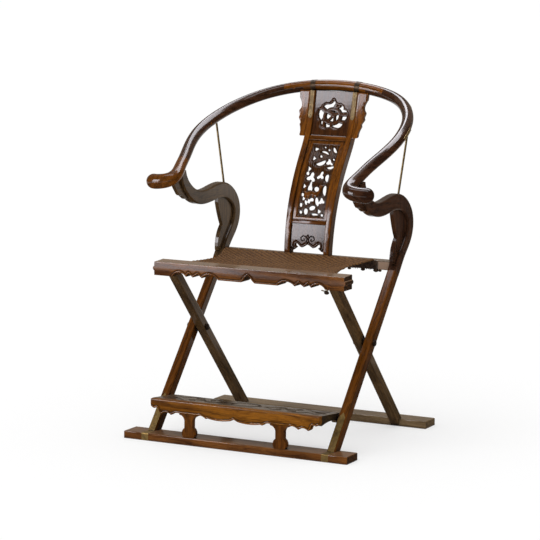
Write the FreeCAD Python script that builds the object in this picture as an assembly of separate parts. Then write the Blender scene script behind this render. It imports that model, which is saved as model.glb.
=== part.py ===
import FreeCAD, Part
import math
import os

V = FreeCAD.Vector

# Folding armchair with crossed legs, a horseshoe rail and a hinged footrest. Millimetres, +Z up, front to -Y.
# Lengths along Y are measured from the pivot of the crossed legs; the finished chair is then moved so
# that the origin lies on the floor under the middle of its box.

# Crossed legs
PIVOT_Z = 274.0
LONG_LEG_LEAN = 40.3
SHORT_LEG_LEAN = 43.6
LONG_LEG_X = 268.7
LEG_THICK = 25.0
LEG_WIDTH = 30.0
LEG_ROUND = 5.0
LEG_GAP = 4.0
LONG_LEG_REACH = 222.0

# Pegs, tenons and grooves
TENON_THICK = 10.0
TENON_WIDTH = 16.0
TENON_LENGTH = 22.0
POST_TENON_LENGTH = 10.0
PANEL_TONGUE = 4.0
GLUE_FIT = 0.1
RUNNING_FIT = 0.05
MOVING_GAP = 0.4

# Pivot pins
PIN_R = 5.0
PIN_HEAD_R = 9.0
PIN_HEAD_H = 5.0
WASHER_R = 12.0

# Base rails
BASE_LENGTH = 666.0
BASE_WIDTH = 64.5
BASE_HEIGHT = 20.6
BASE_ROUND = 3.0
FRONT_BASE_SET = 6.0
REAR_BASE_SET = 11.0

# Seat rails and woven seat
SEAT_HEIGHT = 478.5
FRONT_RAIL_LENGTH = 574.0
FRONT_RAIL_DEPTH = 50.0
FRONT_RAIL_HEIGHT = 38.5
FRONT_RAIL_SET = 15.0
RAIL_END_BEAD = 4.0
RAIL_WAVE = 12.0
RAIL_NOTCH = 20.0
REAR_RAIL_TOP = 474.0
REAR_RAIL_DEPTH = 38.0
REAR_RAIL_HEIGHT = 25.0
REAR_RAIL_SET = 9.0
SEAT_RAIL_ROUND = 3.0
SEAT_FRONT_HALF = 226.0
SEAT_WAIST_HALF = 195.0
SEAT_REAR_HALF = 245.0
SEAT_THICK = 6.0
SEAT_SAG = 12.0
SEAT_DROP = 5.0

# Arm posts and goose necks, cut from one bent band, as (Y, Z) of the middle line and the band's width
POST_THICK = 26.0
POST_ROUND = 5.0
POST_LINE = [(186, 497), (228, 548), (232, 581), (206, 617)]
POST_WIDTHS = [33, 36, 36, 40]
SEAM_Y = 150.0
SEAM_Z = 639.0
SEAM_WIDTH = 44.0
NECK_LINE = [(90, 635), (31, 630), (-12, 638), (-50, 660), (-75, 688)]
NECK_WIDTHS = [43, 40, 37, 35, 33]
NECK_TOP = (-83, 712)
NECK_TOP_WIDTH = 31.0
DOWEL_R = 6.0
DOWEL_LENGTH = 40.0
SPANDREL_THICK = 11.0
POST_BOARD_HEAD = (128, 606)
POST_BOARD_WAVE = [(137, 580), (150, 552), (157, 540)]
POST_BOARD_FOOT = [(141, 520), (132, 498), (131, 470)]
GRIP_BOARD_HEEL = (-40, 636)
GRIP_BOARD_WAVE = [(-60, 634), (-76, 642), (-88, 646)]
GRIP_BOARD_TIP = [(-96, 650), (-106, 660), (-114, 668)]
GRIP_BOARD_NOSE = (-124, 680)

# Horseshoe rail: middle line of the right half, from the crest to the curled hand grip
RAIL_R = 15.5
CREST = (0, 338, 931)
SHOULDER_LINE = [(112, 333, 923), (199, 305, 903), (260, 240, 873), (292, 157, 839)]
ARM_LINE = [(300, 76, 805), (289, 7, 773), (275, -46, 746), (266, -88, 723)]
GRIP_LINE = [(261, -118, 706), (268, -139, 695), (290, -146, 689), (317, -141, 687)]
BULB_R = 20.5
GRIP_BEND = 0.6
CREST_JOINT_X = 125.0
CREST_PLATE_X = 226.0
ARM_JOINT_Y = 125.0
GRIP_JOINT_Y = -62.0
SCARF_LENGTH = 56.0
SCARF_PIN = 6.0
PLATE_LENGTH = 62.0
PLATE_WIDTH = 11.0
STUD_STEP = 14.0
BRASS_THICK = 1.0
STUD_R = 1.8
CREST_BAND_WIDTH = 15.0

# Brass tie rods between the posts and the rail
ROD_R = 2.9
ROD_Y = 171.0
ROD_SINK = 9.0
ROD_OUT = 7.0

# Back splat: (Y, Z) of its front surface, from the seat to the crest
SPLAT_LINE = [(153, 474), (160, 535), (193, 645), (249, 742), (284, 797), (309, 870), (322, 932)]
SPLAT_FOOT_HALF = 68.5
SPLAT_TOP_HALF = 75.0
STILE_WIDTH = 17.0
STILE_DEPTH = 26.0
STILE_ROUND = 3.0
PANEL_INSET = 6.0
PANEL_THICK = 10.0
LOWER_BAR_Z = 563.0
UPPER_BAR_Z = 787.0
BAR_HEIGHT = 11.0
BAR_INSET = 1.5
BAR_DEPTH = 21.0
WING_THICK = 11.0
WING_INSET = 1.5
WING_FOOT = 16.0
WING_FOOT_Z = 790.0
MEDALLION_Z = 851.0
MEDALLION_R = 42.0
CARVING_HALF = 37.0
CARVING_FOOT_Z = 580.0
CARVING_HEIGHT = 186.0
APRON_ARCH = 26.0
STRAP_WIDTH = 12.0
STRAP_LENGTH = 70.0

# Brass on the feet of the long legs
LEG_STRAP_WIDTH = 18.0
LEG_STRAP_LENGTH = 118.0
LEG_STRAP_POINT = 14.0
BASE_BAND_WIDTH = 20.0
BASE_BAND_THICK = 1.5

# Footrest
FOOTREST_HALF = 251.0
FOOTREST_DEPTH = 124.0
FOOTREST_TOP = 117.0
FOOTREST_BOARD = 12.0
FOOTREST_DROP = 10.0
FOOTREST_APRON = 40.0
APRON_THICK = 18.0
APRON_WAVE = 7.0
APRON_END = 26.0
FOOTREST_SIDE = 14.0
SIDE_HEIGHT = 27.0
FOOT_X = 136.0
FOOT_STEM = 23.0
FOOT_BULB = 38.0
FOOT_BULB_Z = 26.0
FOOT_FLARE = 16.0
FOOTREST_PIN_R = 4.0
FOOTREST_PIN_DROP = 17.0
FOOTREST_PIN_REACH = 16.0

# Places that follow from the sizes above
SHORT_LEG_X = LONG_LEG_X - LEG_THICK - LEG_GAP


def long_leg_y(z):
    return (z - PIVOT_Z) * math.tan(math.radians(LONG_LEG_LEAN))


def short_leg_y(z):
    return (PIVOT_Z - z) * math.tan(math.radians(SHORT_LEG_LEAN))


FRONT_BASE_Y = long_leg_y(0) - FRONT_BASE_SET
REAR_BASE_Y = short_leg_y(0) + REAR_BASE_SET
FRONT_EDGE = FRONT_BASE_Y - BASE_WIDTH / 2
BACK_EDGE = max(CREST[1] + RAIL_R, REAR_BASE_Y + BASE_WIDTH / 2)
TO_CENTRE = V(0, -(FRONT_EDGE + BACK_EDGE) / 2, 0)
FRONT_RAIL_Y = short_leg_y(SEAT_HEIGHT - FRONT_RAIL_HEIGHT) - FRONT_RAIL_SET
FRONT_RAIL_BACK = FRONT_RAIL_Y + FRONT_RAIL_DEPTH / 2
REAR_RAIL_Y = long_leg_y(REAR_RAIL_TOP - REAR_RAIL_HEIGHT / 2) + REAR_RAIL_SET
REAR_RAIL_FRONT = REAR_RAIL_Y - REAR_RAIL_DEPTH / 2
POST_INNER_X = LONG_LEG_X - POST_THICK / 2
SPLAT_TOP = CREST[2] - RAIL_R
FOOTREST_FRONT = FRONT_EDGE + MOVING_GAP
FOOTREST_PIN_Z = FOOTREST_TOP - FOOTREST_DROP - FOOTREST_PIN_DROP
FOOTREST_PIN_Y = long_leg_y(FOOTREST_PIN_Z)
FAR = 2 * BASE_LENGTH


# Building blocks

def yz(point):
    return V(0, point[0], point[1])


def xz(point):
    return V(point[0], 0, point[1])


def xy(point):
    return V(point[0], point[1], 0)


def smooth(points):
    curve = Part.BSplineCurve()
    curve.interpolate(points)
    return curve


def outline(to_vector, start, steps):
    """Closed flat face. A pair in steps is a straight run, two pairs an arc, and more a smooth curve."""
    edges = []
    last = start
    for step in steps:
        run = [last, step] if isinstance(step, tuple) else [last] + step
        vectors = [to_vector(p) for p in run]
        if len(run) == 2:
            edges.append(Part.makeLine(*vectors))
        elif len(run) == 3:
            edges.append(Part.Arc(*vectors).toShape())
        else:
            edges.append(smooth(vectors).toShape())
        last = run[-1]
    if last != start:
        edges.append(Part.makeLine(to_vector(last), to_vector(start)))
    return Part.Face(Part.Wire(edges))


def along_y(face, low, high):
    lifted = face.translated(V(0, low, 0))
    return lifted.extrude(V(0, high - low, 0))


def along_x(face, middle, thick):
    lifted = face.translated(V(middle - thick / 2, 0, 0))
    return lifted.extrude(V(thick, 0, 0))


def block(x0, x1, y0, y1, z0, z1):
    return Part.makeBox(x1 - x0, y1 - y0, z1 - z0, V(x0, y0, z0))


def mirrored(shape):
    return shape.mirror(V(0, 0, 0), V(1, 0, 0))


def both_halves(half):
    return half.fuse(mirrored(half)).removeSplitter()


def ribbon(points, near, far):
    """Face in the YZ plane along a smooth line, between two offsets to the right of travel."""
    line = smooth([yz(p) for p in points])
    stops = [line.parameter(yz(p)) for p in points]
    sides = [[], []]
    per_span = 3
    for i in range(len(stops) - 1):
        last_span = i == len(stops) - 2
        for step in range(per_span + last_span):
            share = step / per_span
            u = stops[i] + share * (stops[i + 1] - stops[i])
            heading = line.tangent(u)[0]
            right = V(0, heading.z, -heading.y)
            for side, offset in zip(sides, (near, far)):
                reach = offset[i] + share * (offset[i + 1] - offset[i])
                side.append(line.value(u) + right * reach)
    edges = [
        smooth(sides[0]).toShape(),
        Part.makeLine(sides[0][-1], sides[1][-1]),
        smooth(sides[1]).toShape(),
        Part.makeLine(sides[1][0], sides[0][0]),
    ]
    return Part.Face(Part.Wire(Part.__sortEdges__(edges)))


def round_long_edges(solid, radius):
    curved = [e for e in solid.Edges if isinstance(e.Curve, Part.BSplineCurve)]
    return solid.makeFillet(radius, curved)


def round_edges(solid, radius, axis):
    """Rounds the straight edges that run along one axis."""
    picked = []
    for edge in solid.Edges:
        if not isinstance(edge.Curve, Part.Line):
            continue
        if abs(edge.tangentAt(edge.FirstParameter).dot(axis)) > 0.999:
            picked.append(edge)
    return solid.makeFillet(radius, picked)


def on_level(edge, z):
    return all(abs(v.Z - z) < 1e-6 for v in edge.Vertexes)


def only_solid(shape):
    return max(shape.Solids, key=lambda s: s.Volume)


# Legs

def leg_blank(lean, x, width, thick, start, end):
    """A straight square stick through the pivot, from one distance along the leg to another."""
    stick = block(-thick / 2, thick / 2, -width / 2, width / 2, start, end)
    return place_on_leg(stick, lean, x)


def place_on_leg(shape, lean, x):
    turned = shape.rotated(V(0, 0, 0), V(1, 0, 0), -lean)
    return turned.translated(V(x, 0, PIVOT_Z))


def rounded_leg(lean, x, end):
    start = -2 * PIVOT_Z
    stick = block(-LEG_THICK / 2, LEG_THICK / 2, -LEG_WIDTH / 2, LEG_WIDTH / 2, start, end)
    stick = round_edges(stick, LEG_ROUND, V(0, 0, 1))
    return place_on_leg(stick, lean, x)


def above_floor(shape):
    return shape.common(block(-FAR, FAR, -FAR, FAR, 0, FAR))


def make_long_leg():
    leg = above_floor(rounded_leg(LONG_LEG_LEAN, LONG_LEG_X, LONG_LEG_REACH))
    leg = leg.fuse(post_tenon(0)).removeSplitter()
    pivot_hole = pivot_cylinder(PIN_R, -FAR, FAR)
    rest_hole = Part.makeCylinder(
        FOOTREST_PIN_R + RUNNING_FIT,
        FOOTREST_PIN_REACH + RUNNING_FIT,
        V(LONG_LEG_X - LEG_THICK / 2, FOOTREST_PIN_Y, FOOTREST_PIN_Z),
        V(1, 0, 0),
    )
    return leg.cut(pivot_hole).cut(rest_hole)


def post_tenon(fit):
    return leg_blank(
        LONG_LEG_LEAN,
        LONG_LEG_X,
        TENON_WIDTH + 2 * fit,
        TENON_THICK + 2 * fit,
        LONG_LEG_REACH - POST_TENON_LENGTH,
        LONG_LEG_REACH + POST_TENON_LENGTH + fit,
    )


def make_short_leg():
    top = SEAT_HEIGHT - FRONT_RAIL_HEIGHT
    leg = above_floor(rounded_leg(-SHORT_LEG_LEAN, SHORT_LEG_X, 2 * PIVOT_Z))
    leg = leg.common(block(-FAR, FAR, -FAR, FAR, 0, top))
    leg = leg.fuse(seat_tenon(0)).removeSplitter()
    return leg.cut(pivot_cylinder(PIN_R + RUNNING_FIT, -FAR, FAR))


def seat_tenon(fit):
    """The upright tenon on a short leg that stands in the front seat rail."""
    root = SEAT_HEIGHT - FRONT_RAIL_HEIGHT
    return block(
        SHORT_LEG_X - TENON_THICK / 2 - fit,
        SHORT_LEG_X + TENON_THICK / 2 + fit,
        FRONT_RAIL_Y - fit,
        FRONT_RAIL_Y + TENON_WIDTH + fit,
        root - TENON_WIDTH,
        root + TENON_LENGTH + fit,
    ).common(tenon_reach(fit))


def tenon_reach(fit):
    """Keeps a seat tenon inside the line of its leg below the rail."""
    root = SEAT_HEIGHT - FRONT_RAIL_HEIGHT
    above = block(-FAR, FAR, -FAR, FAR, root, FAR)
    start = -PIVOT_Z
    return above.fuse(leg_blank(-SHORT_LEG_LEAN, SHORT_LEG_X, LEG_WIDTH, LEG_THICK, start, PIVOT_Z))


def pivot_cylinder(radius, x0, x1):
    return Part.makeCylinder(radius, x1 - x0, V(x0, 0, PIVOT_Z), V(1, 0, 0))


def make_pivot_pin():
    inner = SHORT_LEG_X - LEG_THICK / 2 - MOVING_GAP
    outer = LONG_LEG_X + LEG_THICK / 2
    shank = pivot_cylinder(PIN_R, inner, outer)
    return shank.multiFuse([pin_head(inner, -1), pin_head(outer, 1)]).removeSplitter()


def pin_head(x, side):
    """A riveted head with a rounded rim, standing out from x."""
    head = Part.makeCylinder(PIN_HEAD_R, PIN_HEAD_H, V(x, 0, PIVOT_Z), V(side, 0, 0))
    outer = x + side * PIN_HEAD_H
    circles = [e for e in head.Edges if e.isClosed()]
    rim = [e for e in circles if abs(e.BoundBox.Center.x - outer) < GLUE_FIT]
    return head.makeFillet(0.7 * PIN_HEAD_H, rim)


def make_washer():
    inner = SHORT_LEG_X + LEG_THICK / 2 + MOVING_GAP
    outer = LONG_LEG_X - LEG_THICK / 2
    return pivot_cylinder(WASHER_R, inner, outer).cut(pivot_cylinder(PIN_R + GLUE_FIT, inner, outer))


# Base rails

def base_rail(y):
    half = BASE_LENGTH / 2
    rail = block(-half, half, y - BASE_WIDTH / 2, y + BASE_WIDTH / 2, 0, BASE_HEIGHT)
    top = [e for e in rail.Edges if min(v.Z for v in e.Vertexes) > BASE_HEIGHT / 2]
    return rail.makeFillet(BASE_ROUND, top)


def make_front_base_rail():
    leg = rounded_leg(LONG_LEG_LEAN, LONG_LEG_X, 0)
    inlay = base_band(GLUE_FIT)
    return base_rail(FRONT_BASE_Y).cut([leg, mirrored(leg), inlay, mirrored(inlay)])


def make_rear_base_rail():
    leg = rounded_leg(-SHORT_LEG_LEAN, SHORT_LEG_X, 0)
    return base_rail(REAR_BASE_Y).cut(leg).cut(mirrored(leg))


def base_band(fit):
    """A brass band let into the top and front of the front base rail, before a long leg's foot."""
    half = BASE_BAND_WIDTH / 2 + fit
    deep = BASE_BAND_THICK + fit
    front = FRONT_BASE_Y - BASE_WIDTH / 2
    core = block(-FAR, FAR, front + deep, FAR, -FAR, BASE_HEIGHT - deep)
    strip = block(LONG_LEG_X - half, LONG_LEG_X + half, front, long_leg_y(BASE_HEIGHT), -FAR, FAR)
    leg = leg_blank(LONG_LEG_LEAN, LONG_LEG_X, LEG_WIDTH + 2 * GLUE_FIT, FAR, -2 * PIVOT_Z, 0)
    return only_solid(base_rail(FRONT_BASE_Y).common(strip).cut([core, leg]))


def make_leg_strap():
    """A pointed brass strip on the front of a long leg's foot."""
    lean = math.radians(LONG_LEG_LEAN)
    root = (BASE_HEIGHT - PIVOT_Z) / math.cos(lean) - LEG_WIDTH / 2 * math.tan(lean) + MOVING_GAP
    half = LEG_STRAP_WIDTH / 2
    shoulder = root + LEG_STRAP_LENGTH - LEG_STRAP_POINT
    tip = root + LEG_STRAP_LENGTH
    face = outline(xz, (-half, root), [(half, root), (half, shoulder), (0, tip), (-half, shoulder)])
    front = -LEG_WIDTH / 2
    return place_on_leg(along_y(face, front - BRASS_THICK, front), LONG_LEG_LEAN, LONG_LEG_X)


# Seat

def make_front_seat_rail():
    half = FRONT_RAIL_LENGTH / 2
    top = SEAT_HEIGHT
    low = SEAT_HEIGHT - FRONT_RAIL_HEIGHT
    third = FRONT_RAIL_HEIGHT / 3
    bead = half - RAIL_END_BEAD
    leg_room = SHORT_LEG_X - LEG_THICK / 2
    step = leg_room / 11
    face = outline(xz, (0, top), [
        (bead, top),
        (bead, top - third),
        [(half, top - 1.5 * third), (bead, top - 2 * third)],
        (bead, low),
        (leg_room, low),
        [(leg_room - step, low + RAIL_WAVE), (leg_room - 1.95 * step, low + RAIL_WAVE / 8)],
        (leg_room - 2.4 * step, low + RAIL_WAVE),
        (leg_room - 2.95 * step, low + RAIL_WAVE / 8),
        (leg_room - 3.7 * step, low + RAIL_WAVE),
        (leg_room - 4.3 * step, low + RAIL_WAVE / 8),
        [(leg_room - 5.2 * step, low + RAIL_WAVE), (leg_room - 6.7 * step, low)],
        (step, low),
        [(0.62 * step, low + RAIL_NOTCH / 3), (0.4 * step, low + 2 * RAIL_NOTCH / 3)],
        (0, low + RAIL_NOTCH),
    ])
    rail = both_halves(along_y(face, FRONT_RAIL_Y - FRONT_RAIL_DEPTH / 2, FRONT_RAIL_BACK))
    top_edges = [e for e in rail.Edges if e.Length > FRONT_RAIL_DEPTH and on_level(e, top)]
    rail = rail.makeFillet(SEAT_RAIL_ROUND, top_edges)
    tenon = seat_tenon(GLUE_FIT)
    return rail.cut(tenon).cut(mirrored(tenon))


def rear_rail_tenon(fit):
    low = REAR_RAIL_TOP - REAR_RAIL_HEIGHT
    inset = REAR_RAIL_HEIGHT / 4
    return block(
        POST_INNER_X - TENON_WIDTH,
        POST_INNER_X + TENON_WIDTH + fit,
        REAR_RAIL_FRONT + inset - fit,
        REAR_RAIL_FRONT + inset + TENON_THICK + fit,
        low + inset - fit,
        REAR_RAIL_TOP - inset + fit,
    )


def make_rear_seat_rail():
    low = REAR_RAIL_TOP - REAR_RAIL_HEIGHT
    y1 = REAR_RAIL_FRONT + REAR_RAIL_DEPTH
    rail = block(-POST_INNER_X, POST_INNER_X, REAR_RAIL_FRONT, y1, low, REAR_RAIL_TOP)
    rail = round_edges(rail, SEAT_RAIL_ROUND, V(1, 0, 0))
    tenon = rear_rail_tenon(0)
    return rail.fuse(tenon).fuse(mirrored(tenon)).removeSplitter()


def make_seat():
    front = FRONT_RAIL_BACK + MOVING_GAP
    middle = (front + REAR_RAIL_FRONT) / 2
    front_z = SEAT_HEIGHT - SEAT_DROP
    rear_z = REAR_RAIL_TOP - SEAT_DROP
    line = [(front, front_z), (middle, (front_z + rear_z) / 2 - SEAT_SAG), (REAR_RAIL_FRONT, rear_z)]
    profile = ribbon(line, [0, 0, 0], [SEAT_THICK] * 3)
    sheet = along_x(profile, 0, FAR)
    cloth = outline(xy, (-SEAT_FRONT_HALF, front), [
        (SEAT_FRONT_HALF, front),
        [(SEAT_WAIST_HALF, middle), (SEAT_REAR_HALF, REAR_RAIL_FRONT)],
        (-SEAT_REAR_HALF, REAR_RAIL_FRONT),
        [(-SEAT_WAIST_HALF, middle), (-SEAT_FRONT_HALF, front)],
    ])
    return sheet.common(cloth.extrude(V(0, 0, FAR)))


# Horseshoe rail

def rail_curve():
    half = SHOULDER_LINE + ARM_LINE + GRIP_LINE
    left = [V(-x, y, z) for x, y, z in reversed(half)]
    return smooth(left + [V(*CREST)] + [V(*p) for p in half])


RAIL = rail_curve()
CREST_U = RAIL.parameter(V(*CREST))
END_U = RAIL.LastParameter


def rail_u(passed):
    """Parameter on the right half where a test on the middle line turns true."""
    low = CREST_U
    high = END_U
    steps = 400
    for i in range(steps):
        u = low + (high - low) * i / steps
        if passed(RAIL.value(u)):
            return u
    return high


CREST_JOINT_U = rail_u(lambda p: p.x > CREST_JOINT_X)
CREST_PLATE_U = rail_u(lambda p: p.x > CREST_PLATE_X)
ARM_JOINT_U = rail_u(lambda p: p.y < ARM_JOINT_Y)
GRIP_JOINT_U = rail_u(lambda p: p.y < GRIP_JOINT_Y)
ROD_U = rail_u(lambda p: p.y < ROD_Y)


def u_ahead(u, length):
    """Parameter at a length further along the rail."""
    return RAIL.parameterAtDistance(length, u)


def rail_frame(u):
    """Placement with Z along the rail and X towards the rail's upper side."""
    heading = RAIL.tangent(u)[0]
    side = heading.cross(V(0, 0, 1)).normalize()
    top = side.cross(heading)
    return FreeCAD.Placement(RAIL.value(u), FreeCAD.Rotation(top, heading.cross(top), heading, "ZXY"))


def ring(u, radius):
    circle = Part.makeCircle(radius)
    circle.Placement = rail_frame(u)
    return Part.Wire(circle)


def tube(u0, u1, radius, sections=6):
    stops = [u0 + (u1 - u0) * i / (sections - 1) for i in range(sections)]
    return Part.makeLoft([ring(u, radius) for u in stops], True, False)


def grip_tube(extra):
    """The rail from the grip's seam, swelling round the bend into a bulb with a round end."""
    per_stretch = 6
    stretches = []
    for start, end in ((0, GRIP_BEND), (GRIP_BEND, 1)):
        rings = []
        for i in range(per_stretch):
            share = start + (end - start) * i / (per_stretch - 1)
            swell = share * share * (3 - 2 * share)
            u = GRIP_JOINT_U + share * (END_U - GRIP_JOINT_U)
            rings.append(ring(u, RAIL_R + extra + swell * (BULB_R - RAIL_R)))
        stretches.append(Part.makeLoft(rings, True, False))
    bulb = Part.makeSphere(BULB_R + extra, RAIL.value(END_U))
    return only_solid(stretches[0].multiFuse([stretches[1], bulb]).removeSplitter())


def scarf_cut(u, keeps_top, towards_crest):
    """What a rail piece loses at a scarf: all past the lap, and one half of the lap itself."""
    lap = SCARF_LENGTH / 2
    wide = 3 * RAIL_R
    beyond = Part.makeBox(2 * wide, 2 * wide, wide, V(-wide, -wide, lap))
    low = -wide if keeps_top else 0
    half = Part.makeBox(wide, 2 * wide, 2 * lap, V(low, -wide, -lap))
    cut = beyond.fuse(half)
    if not towards_crest:
        cut = cut.rotated(V(0, 0, 0), V(1, 0, 0), 180)
    cut.Placement = rail_frame(u).multiply(cut.Placement)
    return cut


def scarf_bar(u, fit):
    """A square bar through a scarf, from the inside of the rail to the outside."""
    size = SCARF_PIN + 2 * fit
    reach = 2 * RAIL_R
    bar = Part.makeBox(size, 2 * reach, size, V(-size / 2, -reach, -size / 2))
    bar.Placement = rail_frame(u)
    return bar


def scarf_pin(u):
    """The wedge that locks a scarf, trimmed flush with the rail."""
    around = 2 * SCARF_PIN
    return scarf_bar(u, 0).common(tube(u_ahead(u, -around), u_ahead(u, around), RAIL_R))


def piece_between(u0, u1):
    """Tube long enough to hold its share of the scarfs at both ends."""
    spare = SCARF_LENGTH
    return tube(u_ahead(u0, -spare), u_ahead(u1, spare), RAIL_R, 12)


def crest_tube(radius):
    """The middle of the rail from side to side, with its share of both scarfs."""
    span = u_ahead(CREST_JOINT_U, SCARF_LENGTH) - CREST_U
    return tube(CREST_U - span, CREST_U + span, radius, 9)


def make_rail_pieces():
    pin_crest = scarf_bar(CREST_JOINT_U, GLUE_FIT)
    pin_arm = scarf_bar(ARM_JOINT_U, GLUE_FIT)
    rod_hole = rod_cylinder(ROD_R + GLUE_FIT, ROD_SINK)
    crest = crest_tube(RAIL_R)
    for lost in (scarf_cut(CREST_JOINT_U, True, True), pin_crest):
        crest = crest.cut(lost).cut(mirrored(lost))
    shoulder = piece_between(CREST_JOINT_U, ARM_JOINT_U)
    shoulder = shoulder.cut(scarf_cut(CREST_JOINT_U, False, False)).cut(pin_crest)
    shoulder = shoulder.cut(scarf_cut(ARM_JOINT_U, True, True)).cut(pin_arm).cut(rod_hole)
    arm = tube(u_ahead(ARM_JOINT_U, -SCARF_LENGTH), GRIP_JOINT_U, RAIL_R, 12)
    arm = arm.cut(scarf_cut(ARM_JOINT_U, False, False)).cut(pin_arm).cut(rod_hole)
    grip = grip_tube(0)
    return {
        "crest_rail": only_solid(crest),
        "shoulder_rail": only_solid(shoulder),
        "arm_rail": only_solid(arm),
        "hand_grip": grip,
    }


def sleeve(u, length, radius):
    shell = tube(u_ahead(u, -length / 2), u_ahead(u, length / 2), radius + BRASS_THICK, 4)
    core = tube(u_ahead(u, -length), u_ahead(u, length), radius + GLUE_FIT, 5)
    return shell.cut(core)


def make_joint_plate(u, rail):
    """A narrow brass plate along the inside of the rail, with two studs near each end."""
    reach = 2 * RAIL_R
    window = Part.makeBox(PLATE_WIDTH, reach, PLATE_LENGTH, V(-PLATE_WIDTH / 2, -reach, -PLATE_LENGTH / 2))
    window.Placement = rail_frame(u)
    strip = sleeve(u, PLATE_LENGTH + PLATE_WIDTH, RAIL_R).common(window)
    shapes = [only_solid(strip.cut([rail["crest_rail"], rail["shoulder_rail"], rail["arm_rail"]]))]
    outer = (PLATE_LENGTH - PLATE_WIDTH) / 2
    seat = -RAIL_R - BRASS_THICK
    for reach in (-outer, STUD_STEP - outer, outer - STUD_STEP, outer):
        stud = Part.makeCone(STUD_R, STUD_R / 2, STUD_R, V(0, seat, 0), V(0, -1, 0))
        stud.Placement = rail_frame(u_ahead(u, reach)).multiply(stud.Placement)
        shapes.append(stud)
    return Part.makeCompound(shapes)


# Arm posts, goose necks and their brackets

def on_long_leg(reach):
    lean = math.radians(LONG_LEG_LEAN)
    return (reach * math.sin(lean), PIVOT_Z + reach * math.cos(lean))


def arm_band(extra):
    """The bent band of post and goose neck, each edge moved out by a little extra."""
    start = [on_long_leg(LONG_LEG_REACH - LEG_WIDTH), on_long_leg(LONG_LEG_REACH)]
    line = start + POST_LINE + [(SEAM_Y, SEAM_Z)] + NECK_LINE + [NECK_TOP]
    widths = [LEG_WIDTH, LEG_WIDTH] + POST_WIDTHS + [SEAM_WIDTH] + NECK_WIDTHS + [NECK_TOP_WIDTH]
    near = [-w / 2 - extra for w in widths]
    far = [w / 2 + extra for w in widths]
    return along_x(ribbon(line, near, far), LONG_LEG_X, POST_THICK)


def below_rail():
    start = u_ahead(GRIP_JOINT_U, -2 * SCARF_LENGTH)
    arm = tube(start, u_ahead(GRIP_JOINT_U, GLUE_FIT), RAIL_R + GLUE_FIT)
    return [arm, grip_tube(GLUE_FIT)]


def seam_block():
    """Everything in front of the seam between post and goose neck."""
    return block(-FAR, FAR, -FAR, SEAM_Y, SEAM_Z - SEAM_WIDTH, FAR)


def seam_dowel(fit):
    reach = DOWEL_LENGTH / 2 + fit
    return Part.makeCylinder(DOWEL_R + fit, 2 * reach, V(LONG_LEG_X, SEAM_Y - reach, SEAM_Z), V(0, 1, 0))


def make_post_and_neck():
    band = round_long_edges(arm_band(0), POST_ROUND)
    leg_end = leg_blank(LONG_LEG_LEAN, LONG_LEG_X, FAR, FAR, -FAR, LONG_LEG_REACH)
    post = band.cut([seam_block(), leg_end])
    post = post.cut(seam_dowel(GLUE_FIT)).cut(post_tenon(GLUE_FIT)).cut(rear_rail_tenon(GLUE_FIT))
    post = post.cut(rod_cylinder(ROD_R + GLUE_FIT, ROD_SINK))
    neck = band.common(seam_block()).fuse(seam_dowel(0)).removeSplitter()
    neck = neck.cut(below_rail())
    return only_solid(post), only_solid(neck)


def make_post_spandrel():
    """The thin wavy board that fills the hollow of an arm post."""
    back = SEAM_Y + SEAM_WIDTH
    foot = POST_BOARD_FOOT[-1][1]
    edge = outline(yz, (back, SEAM_Z), [
        (SEAM_Y - SEAM_WIDTH / 2, SEAM_Z),
        POST_BOARD_HEAD,
        POST_BOARD_WAVE,
        POST_BOARD_FOOT,
        (back, foot),
        POST_LINE[1],
        POST_LINE[2],
    ])
    board = along_x(edge, LONG_LEG_X, SPANDREL_THICK)
    return only_solid(board.cut(arm_band(GLUE_FIT)))


def make_grip_spandrel():
    """The small wavy bracket in the corner between a goose neck and the hand grip."""
    edge = outline(yz, GRIP_BOARD_HEEL, [
        GRIP_BOARD_WAVE,
        GRIP_BOARD_TIP,
        GRIP_BOARD_NOSE,
        (GRIP_BOARD_NOSE[0], NECK_TOP[1]),
        (GRIP_JOINT_Y, NECK_TOP[1]),
    ])
    board = along_x(edge, LONG_LEG_X, SPANDREL_THICK)
    return only_solid(board.cut([arm_band(GLUE_FIT)] + below_rail()))


# Tie rods

def rod_ends():
    """Where a rod's axis leaves the top of the post and reaches the underside of the rail."""
    foot = V(LONG_LEG_X, ROD_Y, post_top_z(ROD_Y))
    head = RAIL.value(ROD_U) + V(ROD_OUT, 0, 0)
    heading = (head - foot).normalize()
    under = math.sqrt(RAIL_R * RAIL_R - ROD_OUT * ROD_OUT)
    return foot, head - heading * under, heading


def post_top_z(y):
    band = arm_band(0).common(block(LONG_LEG_X, LONG_LEG_X + ROD_R, y - ROD_R, y + ROD_R, SEAM_Z, FAR))
    return band.BoundBox.ZMax


def rod_cylinder(radius, sink):
    foot, head, heading = rod_ends()
    start = foot - heading * sink
    return Part.makeCylinder(radius, (head - foot).Length + 2 * sink, start, heading)


# Back splat

def splat_half(z):
    foot = SPLAT_LINE[0][1]
    share = (z - foot) / (SPLAT_LINE[-1][1] - foot)
    return SPLAT_FOOT_HALF + share * (SPLAT_TOP_HALF - SPLAT_FOOT_HALF)


def inner_half(z):
    return splat_half(z) - STILE_WIDTH


def splat_slab(near, far):
    count = len(SPLAT_LINE)
    return along_x(ribbon(SPLAT_LINE, [near] * count, [far] * count), 0, FAR)


def splat_board(near, far, shapes, holes):
    """The part of the curved slab that lies inside the shapes, less the holes, both seen from the front."""
    body = shapes[0].multiFuse(shapes[1:]) if len(shapes) > 1 else shapes[0]
    for hole in holes:
        body = body.cut(hole)
    return splat_slab(near, far).common(body)


def front_prism(face):
    return along_y(face, 0, FAR)


def trapezoid(low, high, half_at, extra):
    a = half_at(low) + extra
    b = half_at(high) + extra
    return front_prism(outline(xz, (-a, low), [(a, low), (b, high), (-b, high)]))


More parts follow.
